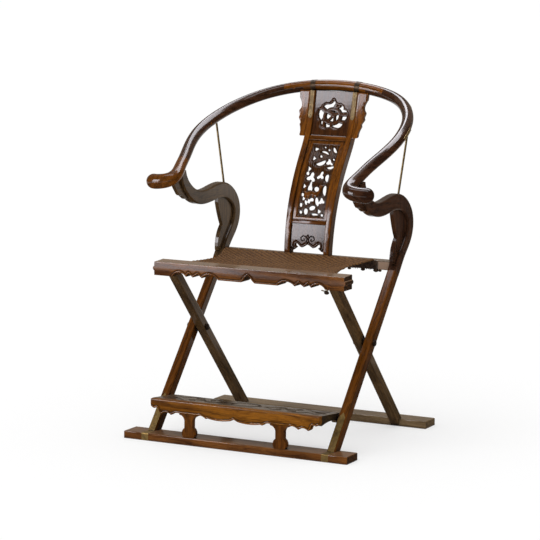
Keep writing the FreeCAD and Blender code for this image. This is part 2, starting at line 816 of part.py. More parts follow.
def make_splat():
    foot = SPLAT_LINE[0][1]
    top = SPLAT_TOP
    room = crest_tube(RAIL_R + MOVING_GAP)
    bar = BAR_HEIGHT / 2
    panel_far = PANEL_INSET + PANEL_THICK

    def panel(low, high, holes, extras=()):
        frame = [trapezoid(low, high, inner_half, PANEL_TONGUE)]
        board = splat_board(PANEL_INSET, panel_far, frame, holes)
        for extra in extras:
            board = board.fuse(splat_slab(PANEL_INSET, panel_far).common(extra))
        return only_solid(board.removeSplitter())

    medallion = panel(UPPER_BAR_Z + bar, top, [medallion_hole()], [tracery()]).cut(room)
    carved = panel(LOWER_BAR_Z + bar, UPPER_BAR_Z - bar, carving_holes())
    apron = panel(foot, LOWER_BAR_Z - bar, [apron_arch(foot)])
    bars = []
    for z in (LOWER_BAR_Z, UPPER_BAR_Z):
        shown = trapezoid(z - bar, z + bar, inner_half, 0)
        with_tenons = trapezoid(z - bar, z + bar, inner_half, PANEL_TONGUE)
        visible = splat_board(BAR_INSET, BAR_DEPTH, [shown], [])
        tenon = splat_board(PANEL_INSET, panel_far, [with_tenons], [])
        bars.append(visible.fuse(tenon).removeSplitter())
    stile = make_stile(foot, top)
    groove = splat_slab(PANEL_INSET, panel_far).common(trapezoid(foot, top, inner_half, PANEL_TONGUE))
    stile = stile.cut(groove)
    wing = make_wing(top)
    tongue = splat_slab(WING_INSET, WING_INSET + WING_THICK).common(trapezoid(foot, top, splat_half, 0))
    wing = wing.cut(tongue)
    return {
        "medallion_panel": only_solid(medallion),
        "carved_panel": carved,
        "apron_panel": apron,
        "splat_lower_bar": bars[0],
        "splat_upper_bar": bars[1],
        "splat_stile": round_front(only_solid(stile.cut(room))),
        "splat_wing": only_solid(wing.cut(room)),
    }


def make_stile(foot, top):
    a = splat_half(foot)
    b = splat_half(top)
    face = outline(xz, (a - STILE_WIDTH, foot), [(a, foot), (b, top), (b - STILE_WIDTH, top)])
    return splat_board(0, STILE_DEPTH, [front_prism(face)], [])


def round_front(stile):
    """Rounds the two long edges at the front of a stile."""
    tall = SPLAT_TOP - SPLAT_LINE[0][1]
    long_edges = [e for e in stile.Edges if e.Length > tall]
    long_edges.sort(key=lambda e: e.BoundBox.YMin)
    return stile.makeFillet(STILE_ROUND, long_edges[:2])


def make_wing(top):
    """A wavy side wing beside the top of a stile, wider towards the crest."""
    low = WING_FOOT_Z
    span = top - low
    edge = splat_half(low)

    def at(out, share):
        z = low + share * span
        return (splat_half(z) + out * WING_FOOT, z)

    face = outline(xz, (edge - PANEL_TONGUE, low), [
        at(0.7, 0),
        [at(0.93, 0.012), at(1, 0.05)],
        [at(1.05, 0.14), at(1.2, 0.2), at(1.35, 0.25)],
        [at(1.25, 0.29), at(1.5, 0.35), at(1.68, 0.41)],
        [at(1.6, 0.46), at(1.7, 0.5), at(1.72, 0.56)],
        [at(1.35, 0.68), at(1.5, 0.75), at(1.85, 0.83)],
        at(1.9, 1),
        at(0, 1),
    ])
    return splat_board(WING_INSET, WING_INSET + WING_THICK, [front_prism(face)], [])


def medallion_hole():
    """A pointed lobed opening, symmetrical from side to side."""
    r = MEDALLION_R
    z = MEDALLION_Z
    face = outline(xz, (0, z + 1.12 * r), [
        [(0.1 * r, z + 0.94 * r), (0.35 * r, z + 0.8 * r), (0.6 * r, z + 0.72 * r)],
        [(0.98 * r, z + 0.3 * r), (0.93 * r, z - 0.12 * r)],
        [(0.85 * r, z - 0.75 * r), (0.4 * r, z - 0.85 * r)],
        [(0.2 * r, z - 0.97 * r), (0, z - r)],
    ])
    return both_halves(front_prism(face))


def tracery():
    """A ring with curling stems that tie it to the rim of the medallion."""
    r = MEDALLION_R
    centre = V(0, 0, MEDALLION_Z - 0.03 * r)
    ring_out = Part.makeCylinder(0.62 * r, FAR, centre, V(0, 1, 0))
    ring_in = Part.makeCylinder(0.44 * r, FAR, centre, V(0, 1, 0))
    stem = 0.14 * r
    bars = []
    for turn in (35, 125):
        bar = block(-1.02 * r, 1.02 * r, 0, FAR, -stem / 2, stem / 2)
        bars.append(bar.rotated(V(0, 0, 0), V(0, 1, 0), turn).translated(centre))
    return ring_out.cut(ring_in).multiFuse(bars).common(medallion_hole())


def carving_holes():
    """Openings between the carved leaves, from the foot of the carving to its head."""
    low = CARVING_FOOT_Z
    wide = CARVING_HALF
    tall = CARVING_HEIGHT
    places = [
        (-0.77, 0.93, 5.5, 3, 0), (-0.10, 0.96, 2.5, 2.5, 0), (0.26, 0.93, 2.5, 2.5, 0),
        (0.77, 0.92, 6, 5.5, 0), (-0.05, 0.89, 8, 2.5, -15), (-0.76, 0.80, 3.5, 4, 0),
        (-0.23, 0.83, 3, 3, 0), (0.90, 0.81, 2.5, 2.5, 0), (-0.09, 0.745, 9.5, 5, 20),
        (0.59, 0.755, 10, 7, -20), (0.78, 0.68, 5.5, 2.5, 0), (-0.90, 0.66, 4, 4, 0),
        (-0.93, 0.59, 3.5, 4, 0), (-0.51, 0.54, 11.5, 9, 20), (0.20, 0.57, 7.5, 9.5, 0),
        (0.72, 0.54, 5, 7, 0), (-0.93, 0.42, 3.5, 4.5, 0), (-0.45, 0.40, 10, 4.5, 0),
        (0.10, 0.375, 6, 6.5, 0), (0.74, 0.36, 4, 11.5, 0), (-0.92, 0.29, 4, 3, 0),
        (-0.81, 0.235, 4, 4.5, 0), (-0.57, 0.18, 3, 4.5, 0), (-0.32, 0.195, 3, 5, 0),
        (-0.04, 0.225, 4.5, 4.5, 0), (0.30, 0.195, 5, 9, 0), (0.72, 0.215, 7.5, 8, 0),
        (-0.93, 0.15, 3.5, 4.5, 0), (0, 0.107, 7.5, 5, 20), (-0.46, 0.06, 6, 7.5, 0),
        (0.56, 0.074, 4, 4.5, 0), (-0.82, 0.04, 4, 4, 0), (0.22, 0.027, 8, 2.5, 0),
        (0.82, 0.025, 3.5, 3.5, 0),
    ]
    holes = []
    for across, up, half_width, half_height, tilt in places:
        longest = max(half_width, half_height)
        curve = Part.Ellipse(V(0, 0, 0), longest, min(half_width, half_height))
        face = Part.Face(Part.Wire(curve.toShape()))
        upright = 90 if half_height > half_width else 0
        face = face.rotated(V(0, 0, 0), V(0, 0, 1), upright + tilt)
        face = face.rotated(V(0, 0, 0), V(1, 0, 0), 90)
        holes.append(front_prism(face.translated(V(across * wide, 0, low + up * tall))))
    return holes


def apron_arch(foot):
    """The cusped opening at the foot of the splat."""
    half = inner_half(foot) - PANEL_TONGUE
    rise = APRON_ARCH
    face = outline(xz, (0, foot + rise), [
        [(0.3 * half, foot + 0.98 * rise), (0.5 * half, foot + 0.75 * rise)],
        [(0.72 * half, foot + 0.85 * rise), (0.85 * half, foot + 0.5 * rise)],
        (0.92 * half, foot + 0.1 * rise),
        (half, foot),
        (half, foot - 1),
        (0, foot - 1),
    ])
    return both_halves(front_prism(face))


def make_splat_strap():
    """A brass strip on the front of a stile's top, rounded at its foot."""
    top = SPLAT_TOP
    low = top - STRAP_LENGTH
    mid = splat_half(low) - STILE_WIDTH / 2
    lean = splat_half(top) - splat_half(low)
    half = STRAP_WIDTH / 2
    face = outline(xz, (mid - half, low), [
        [(mid, low - half), (mid + half, low)],
        (mid + half + lean, top),
        (mid - half + lean, top),
    ])
    strap = splat_board(-BRASS_THICK - GLUE_FIT, -GLUE_FIT, [front_prism(face)], [])
    return only_solid(strap.cut(crest_tube(RAIL_R + MOVING_GAP)))


def make_crest_band():
    """A brass band over the crest rail above a strap, open where the splat comes up from below."""
    x = splat_half(CREST[2]) - STILE_WIDTH / 2
    band = sleeve(rail_u(lambda p: p.x > x), CREST_BAND_WIDTH, RAIL_R)
    below = block(-FAR, FAR, -FAR, FAR, -FAR, SPLAT_TOP + MOVING_GAP)
    strap_front = -BRASS_THICK - GLUE_FIT - MOVING_GAP
    return only_solid(band.cut(splat_slab(strap_front, 2 * STILE_DEPTH).common(below)))


# Footrest

def make_footrest():
    """A board that falls a little to the rear, on two sides that turn on pins in the long legs."""
    half = FOOTREST_HALF
    start = FOOTREST_FRONT + APRON_THICK
    back = FOOTREST_FRONT + FOOTREST_DEPTH
    front_top = FOOTREST_TOP
    back_top = FOOTREST_TOP - FOOTREST_DROP
    front_low = front_top - FOOTREST_BOARD
    back_low = back_top - FOOTREST_BOARD
    profile = outline(yz, (start, front_top), [(back, back_top), (back, back_low), (start, front_low)])
    board = along_x(profile, 0, 2 * half)
    eye = 2 * FOOTREST_PIN_R
    side_low = front_top - SIDE_HEIGHT
    face = outline(yz, (start, front_low), [
        (back, back_low),
        (FOOTREST_PIN_Y + eye, FOOTREST_PIN_Z),
        [(FOOTREST_PIN_Y, FOOTREST_PIN_Z - eye), (FOOTREST_PIN_Y - eye, FOOTREST_PIN_Z)],
        [(start + SIDE_HEIGHT, side_low + eye / 2), (start, side_low)],
    ])
    side = along_x(face, half - FOOTREST_SIDE / 2, FOOTREST_SIDE)
    pin_x = half - FOOTREST_SIDE
    pin_length = LONG_LEG_X - LEG_THICK / 2 + FOOTREST_PIN_REACH - pin_x
    pin = Part.makeCylinder(FOOTREST_PIN_R, pin_length, V(pin_x, FOOTREST_PIN_Y, FOOTREST_PIN_Z), V(1, 0, 0))
    return {
        "footrest_board": board.cut(pin).cut(mirrored(pin)),
        "footrest_side": side.cut(pin),
        "footrest_pin": pin,
        "footrest_apron": make_footrest_apron(),
        "footrest_foot": make_footrest_foot(),
    }


def apron_root():
    """Height of the apron's lower edge where a foot meets it, and half the foot's width there."""
    return FOOTREST_TOP - FOOTREST_APRON + APRON_WAVE, FOOT_STEM / 2 + FOOT_FLARE


def make_footrest_apron():
    top = FOOTREST_TOP
    low = top - FOOTREST_APRON
    half = FOOTREST_HALF
    arch, root = apron_root()
    inner = FOOT_X - root
    outer = FOOT_X + root
    bay = half - outer
    face = outline(xz, (0, top), [
        (half, top),
        (half, top - APRON_END / 2),
        [(half - 0.03 * bay, top - 0.85 * APRON_END), (half - 0.12 * bay, top - APRON_END)],
        [
            (half - 0.25 * bay, top - APRON_END),
            (half - 0.3 * bay, low + APRON_WAVE / 2),
            (outer + 0.62 * bay, low),
        ],
        [(outer + 0.46 * bay, low + 0.8 * APRON_WAVE), (outer + 0.3 * bay, low)],
        [(outer + 0.15 * bay, arch), (outer, arch)],
        (inner, arch),
        [(inner - 0.12 * bay, arch), (0.78 * inner, low)],
        (0.72 * inner, low + APRON_WAVE / 4),
        [(0.4 * inner, low - APRON_WAVE / 4), (0.1 * inner, low + APRON_WAVE / 4)],
        (0, low + APRON_WAVE),
    ])
    return both_halves(along_y(face, FOOTREST_FRONT, FOOTREST_FRONT + APRON_THICK))


def make_footrest_foot():
    """A foot under the apron: a stem that flares into the apron and swells to a bun at the bottom."""
    low = BASE_HEIGHT + MOVING_GAP
    top, root = apron_root()
    stem = FOOT_STEM / 2
    bulb = FOOT_BULB / 2
    bulb_top = low + FOOT_BULB_Z
    bulb_mid = low + FOOT_BULB_Z / 2
    sole = (stem + bulb) / 2
    lip = top - FOOT_FLARE / 6
    neck = lip - FOOT_FLARE
    curl = 0.3 * FOOT_FLARE
    face = outline(xz, (FOOT_X - root, top), [
        (FOOT_X - root, lip),
        [(FOOT_X - stem - curl, lip - curl), (FOOT_X - stem, neck)],
        (FOOT_X - stem, bulb_top),
        [(FOOT_X - bulb, bulb_mid), (FOOT_X - sole, low)],
        (FOOT_X + sole, low),
        [(FOOT_X + bulb, bulb_mid), (FOOT_X + stem, bulb_top)],
        (FOOT_X + stem, neck),
        [(FOOT_X + stem + curl, lip - curl), (FOOT_X + root, lip)],
        (FOOT_X + root, top),
    ])
    return along_y(face, FOOTREST_FRONT, FOOTREST_FRONT + APRON_THICK)


# The finished pieces

def make_pieces():
    post, neck = make_post_and_neck()
    rail = make_rail_pieces()
    splat = make_splat()
    footrest = make_footrest()
    scarf_us = (CREST_JOINT_U, ARM_JOINT_U)
    plate_us = (CREST_PLATE_U, ARM_JOINT_U)
    single = {
        "front_base_rail": make_front_base_rail(),
        "rear_base_rail": make_rear_base_rail(),
        "front_seat_rail": make_front_seat_rail(),
        "rear_seat_rail": make_rear_seat_rail(),
        "seat_webbing": make_seat(),
        "crest_rail": rail["crest_rail"],
        "medallion_panel": splat["medallion_panel"],
        "carved_panel": splat["carved_panel"],
        "apron_panel": splat["apron_panel"],
        "splat_lower_bar": splat["splat_lower_bar"],
        "splat_upper_bar": splat["splat_upper_bar"],
        "footrest_board": footrest["footrest_board"],
        "footrest_apron": footrest["footrest_apron"],
    }
    pairs = {
        "long_leg": make_long_leg(),
        "short_leg": make_short_leg(),
        "arm_post": post,
        "goose_neck": neck,
        "post_spandrel": make_post_spandrel(),
        "grip_spandrel": make_grip_spandrel(),
        "shoulder_rail": rail["shoulder_rail"],
        "arm_rail": rail["arm_rail"],
        "hand_grip": rail["hand_grip"],
        "tie_rod": rod_cylinder(ROD_R, ROD_SINK),
        "splat_stile": splat["splat_stile"],
        "splat_wing": splat["splat_wing"],
        "footrest_side": footrest["footrest_side"],
        "footrest_foot": footrest["footrest_foot"],
    }
    groups = {
        "pivot_pins": [make_pivot_pin()],
        "pivot_washers": [make_washer()],
        "leg_straps": [make_leg_strap()],
        "base_bands": [base_band(0)],
        "scarf_pins": [scarf_pin(u) for u in scarf_us],
        "joint_plates": [make_joint_plate(u, rail) for u in plate_us],
        "crest_bands": [make_crest_band()],
        "splat_straps": [make_splat_strap()],
        "footrest_pins": [footrest["footrest_pin"]],
    }
    pieces = dict(single)
    for name, right in pairs.items():
        pieces[name + "_right"] = right
        pieces[name + "_left"] = mirrored(right)
    for name, right in groups.items():
        pieces[name] = Part.makeCompound(right + [mirrored(shape) for shape in right])
    return pieces


os.makedirs("parts", exist_ok=True)
for name, shape in make_pieces().items():
    placed = shape.translated(TO_CENTRE)
    if not placed.isValid():
        print("not valid:", name)
    placed.exportStep("parts/" + name + ".step")
    print(name, len(placed.Solids), round(placed.Volume / 1000, 1), "cm3")
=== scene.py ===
import math

import bmesh
import bpy
import numpy as np
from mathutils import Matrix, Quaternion, Vector
from mathutils.bvhtree import BVHTree


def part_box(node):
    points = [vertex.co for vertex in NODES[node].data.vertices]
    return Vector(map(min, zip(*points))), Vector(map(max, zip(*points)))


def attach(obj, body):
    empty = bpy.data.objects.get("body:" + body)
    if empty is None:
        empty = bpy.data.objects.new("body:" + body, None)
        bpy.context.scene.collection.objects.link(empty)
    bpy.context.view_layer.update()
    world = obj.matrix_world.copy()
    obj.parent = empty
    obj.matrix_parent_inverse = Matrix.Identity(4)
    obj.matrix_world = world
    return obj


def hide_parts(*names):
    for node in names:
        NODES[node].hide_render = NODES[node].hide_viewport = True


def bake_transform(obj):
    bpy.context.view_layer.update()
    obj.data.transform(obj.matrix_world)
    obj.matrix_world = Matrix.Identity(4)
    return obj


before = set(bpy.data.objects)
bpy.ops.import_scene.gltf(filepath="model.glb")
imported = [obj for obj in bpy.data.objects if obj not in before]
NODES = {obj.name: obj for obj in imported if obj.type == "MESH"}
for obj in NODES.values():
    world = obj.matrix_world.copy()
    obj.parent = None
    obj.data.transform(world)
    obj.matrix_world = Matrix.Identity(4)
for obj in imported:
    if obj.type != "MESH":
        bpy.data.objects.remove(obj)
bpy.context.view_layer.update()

MM = 0.001

# View: turned to the right of the chair's front, a little above it, with a long lens
VIEW_AZIMUTH = 26.919
VIEW_ELEVATION = 8.380
VIEW_ROLL = 0.605
VIEW_DISTANCE = 6.7939
VIEW_AIM = Vector((-0.0541, 0.0, 0.4407))
LENS = 165.27
SENSOR = 36.0
VIEW_REACH = 100.0

# Studio: one broad sun for the soft shadow, an even white surround and a pale floor
SUN_TURN = -40.0
SUN_HEIGHT = 70.0
SUN_SPREAD = 60.0
SUN_STRENGTH = 1.0
SURROUND = 0.76
FLOOR_SIZE = 80.0
FLOOR_COLOUR = (0.97, 0.97, 0.97, 1)
FLOOR_ROUGHNESS = 0.9
FLOOR_LIFT = 0.5

# Cards round the chair that only its polish mirrors: middle, the way that it faces, width, height and glow
CARDS = {
    "front_left_softbox": ((-2.2, -2.85, 1.57), (0.6, 0.8, 0), 1.5, 1.34, 13.0),
    "low_softbox": ((-2.2, -2.85, 0.45), (0.6, 0.8, 0), 1.5, 0.88, 5.0),
    "overhead_softbox": ((0, -0.5, 3.0), (0, 0, -1), 2.4, 0.6, 4.0),
    "overhead_strip": ((0.35, 0.92, 2.6), (0, -0.2, -1), 1.9, 0.65, 9.0),
    "back_left_softbox": ((-1.0, 1.55, 2.9), (0.4, -0.45, -0.8), 0.9, 0.8, 9.0),
}
FLAGS = {
    "right_flag": ((0.75, 0.3, 0.8), (-1, 0, 0), 2.6, 1.6, 0.02),
    "floor_flag": ((0, -0.6, 0.002), (0, 0, 1), 4.0, 3.2, 0.05),
    "rear_floor_flag": ((1.6, 3.0, 0.002), (0, 0, 1), 3.6, 4.0, 0.55),
}
CARD_COLOUR = (0.94, 0.94, 1.0, 1)
FLAG_COLOUR = (1.0, 0.88, 0.76, 1)
WALL_RADIUS = 7.0
WALL_HEIGHT = 22.0
WALL_STEPS = 12
WALL_GLOW_FRONT = 0.02
WALL_GLOW_BACK = 0.26


def compass(azimuth, elevation):
    """Direction towards a place round the chair: azimuth 0 is its front, and 90 its right."""
    a = math.radians(azimuth)
    e = math.radians(elevation)
    return Vector((math.sin(a) * math.cos(e), -math.cos(a) * math.cos(e), math.sin(e)))


def link(thing):
    bpy.context.scene.collection.objects.link(thing)
    return thing


def make_camera():
    back = compass(VIEW_AZIMUTH, VIEW_ELEVATION)
    lens = bpy.data.cameras.new("view")
    lens.lens = LENS
    lens.sensor_width = SENSOR
    lens.clip_end = VIEW_REACH
    camera = link(bpy.data.objects.new("view", lens))
    camera.rotation_mode = "QUATERNION"
    camera.location = VIEW_AIM + back * VIEW_DISTANCE
    roll = Quaternion(back, math.radians(VIEW_ROLL))
    camera.rotation_quaternion = roll @ (-back).to_track_quat("-Z", "Y")
    bpy.context.scene.camera = camera


# Node trees

def put(tree, kind, inputs=None, **settings):
    """Adds a node. An input is named or numbered, and takes a value or another node's output."""
    made = tree.nodes.new(kind)
    for name, value in settings.items():
        setattr(made, name, value)
    for key, value in (inputs or {}).items():
        if isinstance(value, bpy.types.NodeSocket):
            tree.links.new(value, made.inputs[key])
        else:
            made.inputs[key].default_value = value
    return made


def math_node(tree, operation, *values):
    return put(tree, "ShaderNodeMath", dict(enumerate(values)), operation=operation).outputs[0]


def times(tree, first, second):
    return math_node(tree, "MULTIPLY", first, second)


def remap(tree, value, low, high, to_low=0.0, to_high=1.0):
    places = {"Value": value, "From Min": low, "From Max": high, "To Min": to_low, "To Max": to_high}
    return put(tree, "ShaderNodeMapRange", places).outputs["Result"]


def mix_colour(tree, share, first, second):
    inputs = {0: share, 6: first, 7: second}
    return put(tree, "ShaderNodeMix", inputs, data_type="RGBA").outputs[2]


def noise(tree, vector, scale, detail=2.0, roughness=0.5):
    inputs = {"Vector": vector, "Scale": scale, "Detail": detail, "Roughness": roughness}
    return put(tree, "ShaderNodeTexNoise", inputs).outputs["Fac"]


def stretched(tree, vector, scale, turn=(0, 0, 0)):
    inputs = {"Vector": vector, "Scale": scale, "Rotation": turn}
    return put(tree, "ShaderNodeMapping", inputs).outputs["Vector"]


def object_place(tree):
    return put(tree, "ShaderNodeTexCoord").outputs["Object"]


def parts_of(tree, vector):
    return put(tree, "ShaderNodeSeparateXYZ", {0: vector}).outputs


def new_group(name, takes, gives):
    """A shader group with its inputs as (name, kind, default) and its outputs as (name, kind)."""
    tree = bpy.data.node_groups.new(name, "ShaderNodeTree")
    for label, kind, value in takes:
        socket = tree.interface.new_socket(label, in_out="INPUT", socket_type="NodeSocket" + kind)
        socket.default_value = value
    for label, kind in gives:
        tree.interface.new_socket(label, in_out="OUTPUT", socket_type="NodeSocket" + kind)
    start = tree.nodes.new("NodeGroupInput").outputs
    end = tree.nodes.new("NodeGroupOutput").inputs
    return tree, start, end


def use_group(tree, group, inputs):
    return put(tree, "ShaderNodeGroup", inputs, node_tree=group).outputs


def grain_group():
    """Long fibres, growth bands and open pores, with the grain along X."""
    tree, start, end = new_group(
        "wood_grain",
        [("Vector", "Vector", (0, 0, 0)), ("Band Scale", "Float", 26.0)],
        [("Bands", "Float"), ("Fibres", "Float"), ("Pores", "Float"), ("Patches", "Float")],
    )
    wander = put(tree, "ShaderNodeTexNoise", {"Vector": start["Vector"], "Scale": 9.0, "Detail": 2.0})
    centred = put(tree, "ShaderNodeVectorMath", {0: wander.outputs["Color"], 1: (0.5, 0.5, 0.5)},
                  operation="SUBTRACT").outputs[0]
    drift = put(tree, "ShaderNodeVectorMath", {0: centred, "Scale": 0.02}, operation="SCALE").outputs[0]
    bent = put(tree, "ShaderNodeVectorMath", {0: start["Vector"], 1: drift}, operation="ADD").outputs[0]
    bands = put(tree, "ShaderNodeTexWave", {
        "Vector": stretched(tree, bent, (0.07, 1, 1)), "Scale": start["Band Scale"],
        "Distortion": 7.0, "Detail": 3.0, "Detail Scale": 2.0,
    }, bands_direction="DIAGONAL")
    tree.links.new(bands.outputs["Fac"], end["Bands"])
    fibres = noise(tree, stretched(tree, bent, (0.03, 1, 1)), 620.0, 4.0, 0.62)
    tree.links.new(fibres, end["Fibres"])
    pores = noise(tree, stretched(tree, bent, (0.06, 1, 1)), 1500.0, 1.0)
    tree.links.new(remap(tree, pores, 0.6, 0.72), end["Pores"])
    patches = noise(tree, stretched(tree, bent, (0.5, 1, 1)), 11.0, 3.0, 0.55)
    tree.links.new(remap(tree, patches, 0.3, 0.7), end["Patches"])
    return tree


def wear_and_shade_group():
    """Masks for rubbed edges and for painted shade in corners, found by ambient occlusion."""
    tree, start, end = new_group(
        "edges_and_corners",
        [("Vector", "Vector", (0, 0, 0)), ("Edge", "Float", 0.002), ("Corner", "Float", 0.012)],
        [("Rubbed", "Float"), ("Corner Shade", "Float")],
    )
    rounded = put(tree, "ShaderNodeBevel", {"Radius": start["Edge"]}, samples=4).outputs["Normal"]
    true = put(tree, "ShaderNodeNewGeometry").outputs["Normal"]
    along = put(tree, "ShaderNodeVectorMath", {0: rounded, 1: true}, operation="DOT_PRODUCT")
    edge = remap(tree, along.outputs["Value"], 0.995, 0.9)
    broken = remap(tree, noise(tree, start["Vector"], 90.0, 3.0, 0.6), 0.35, 0.65)
    tree.links.new(times(tree, edge, broken), end["Rubbed"])
    # Painted shade: how deep a place lies in a corner, from ambient occlusion.
    shade = put(tree, "ShaderNodeAmbientOcclusion", {"Distance": start["Corner"]}, samples=6).outputs["AO"]
    tree.links.new(remap(tree, shade, 0.85, 0.35), end["Corner Shade"])
    return tree


GRAIN = grain_group()
WEAR_AND_SHADE = wear_and_shade_group()

# Finishes: dark, middle and light colour of each wood, in linear light
WOODS = {
    "amber": ((0.034, 0.009, 0.001, 1), (0.165, 0.048, 0.0035, 1), (0.360, 0.122, 0.009, 1)),
    "gold": ((0.050, 0.014, 0.001, 1), (0.230, 0.078, 0.0050, 1), (0.450, 0.170, 0.012, 1)),
    "honey": ((0.028, 0.008, 0.001, 1), (0.125, 0.038, 0.0040, 1), (0.260, 0.085, 0.008, 1)),
    "russet": ((0.042, 0.012, 0.003, 1), (0.172, 0.060, 0.0120, 1), (0.310, 0.118, 0.026, 1)),
    "chestnut": ((0.020, 0.006, 0.002, 1), (0.072, 0.023, 0.0050, 1), (0.130, 0.045, 0.010, 1)),
    "walnut": ((0.013, 0.005, 0.003, 1), (0.050, 0.018, 0.0080, 1), (0.105, 0.043, 0.016, 1)),
    "umber": ((0.026, 0.013, 0.005, 1), (0.082, 0.044, 0.0165, 1), (0.150, 0.088, 0.036, 1)),
    "oak": ((0.050, 0.030, 0.013, 1), (0.130, 0.085, 0.0450, 1), (0.210, 0.150, 0.085, 1)),
    "driftwood": ((0.090, 0.056, 0.026, 1), (0.220, 0.142, 0.0700, 1), (0.330, 0.230, 0.125, 1)),
}
# Painted shade: the dark that corners, deep carving and faces along X are darkened towards.
PAINTED_SHADE = (0.012, 0.007, 0.004, 1)
# Painted sheen: the pale colour that level tops are lightened towards.
TOP_SHEEN = (0.420, 0.300, 0.200, 1)
BARE = (0.340, 0.215, 0.140, 1)
WOOD_SPECULAR = 0.03
WOOD_COAT = 0.7
WOOD_COAT_ROUGHNESS = 0.12
HORSESHOE_RADIUS = 0.3
SPLAT_LEAN = (0, 0.45, 1)

# Clean, tarnished and rubbed colour of each brass
BRASSES = {
    "dark_brass": ((0.320, 0.200, 0.058, 1), (0.130, 0.080, 0.026, 1), (0.620, 0.450, 0.165, 1)),
    "splat_brass": ((0.180, 0.122, 0.054, 1), (0.085, 0.056, 0.025, 1), (0.420, 0.310, 0.130, 1)),
    "crest_brass": ((0.060, 0.034, 0.014, 1), (0.030, 0.017, 0.008, 1), (0.350, 0.240, 0.090, 1)),
    "rod_brass": ((0.300, 0.205, 0.078, 1), (0.120, 0.076, 0.030, 1), (0.480, 0.350, 0.150, 1)),
}
# Painted shade: the dark that brass is taken towards in its corners.
BRASS_CORNER_SHADE = (0.020, 0.014, 0.008, 1)
IRON_BLACK = (0.030, 0.024, 0.020, 1)
IRON_RUST = (0.075, 0.034, 0.016, 1)
METALLIC = 0.7

# Plaited cord: painted shade low between the cords, on top of them, aged, along the twist, specked, and
# painted shade in the gaps
CORD_LOW_SHADE = (0.018, 0.007, 0.003, 1)
CORD_TOP = (0.205, 0.090, 0.027, 1)
CORD_AGED = (0.290, 0.146, 0.048, 1)
CORD_TWIST = (0.060, 0.030, 0.014, 1)
CORD_SPECK = (0.040, 0.018, 0.008, 1)
CORD_GAP_SHADE = (0.020, 0.010, 0.005, 1)
CORD_TWIST_TURN = 27.0
CORD_SPECULAR = 0.1

# Colour of each cord end between its strands, on them and where dust lies
CORD_ENDS = {
    # The shaded old cord is kept dark as painted shade as well as for age and dirt: it lies in shade under
    # the rails.
    "shaded_old_cord": ((0.014, 0.008, 0.006, 1), (0.050, 0.027, 0.016, 1), (0.110, 0.066, 0.036, 1)),
    "pale_cord": ((0.120, 0.085, 0.050, 1), (0.420, 0.330, 0.210, 1), (0.500, 0.420, 0.300, 1)),
}
CORD_END_SPECULAR = 0.15


def new_material(name):
    made = bpy.data.materials.new(name)
    made.use_nodes = True
    tree = made.node_tree
    tree.nodes.clear()
    surface = tree.nodes.new("ShaderNodeBsdfPrincipled")
    end = tree.nodes.new("ShaderNodeOutputMaterial")
    tree.links.new(surface.outputs[0], end.inputs["Surface"])
    return made, tree, surface.inputs


def raise_surface(tree, surface, height, strength, distance):
    """Fine relief by a height that varies over the surface."""
    bump = put(tree, "ShaderNodeBump", {"Height": height, "Strength": strength, "Distance": distance})
    tree.links.new(bump.outputs["Normal"], surface["Normal"])


def straight_grain(direction):
    """Coordinates with X along a straight piece's length."""
    turn = Vector(direction).rotation_difference(Vector((1, 0, 0))).to_euler()

    def lay(tree):
        return stretched(tree, object_place(tree), (1, 1, 1), turn)

    return lay


def bent_grain(tree):
    """Coordinates that follow the horseshoe round, with X along it."""
    parts = parts_of(tree, object_place(tree))
    turn = math_node(tree, "ARCTAN2", parts["X"], parts["Y"])
    along = times(tree, turn, HORSESHOE_RADIUS)
    flat = put(tree, "ShaderNodeCombineXYZ", {0: parts["X"], 1: parts["Y"]}).outputs[0]
    out = put(tree, "ShaderNodeVectorMath", {0: flat}, operation="LENGTH").outputs["Value"]
    return put(tree, "ShaderNodeCombineXYZ", {0: along, 1: out, 2: parts["Z"]}).outputs[0]


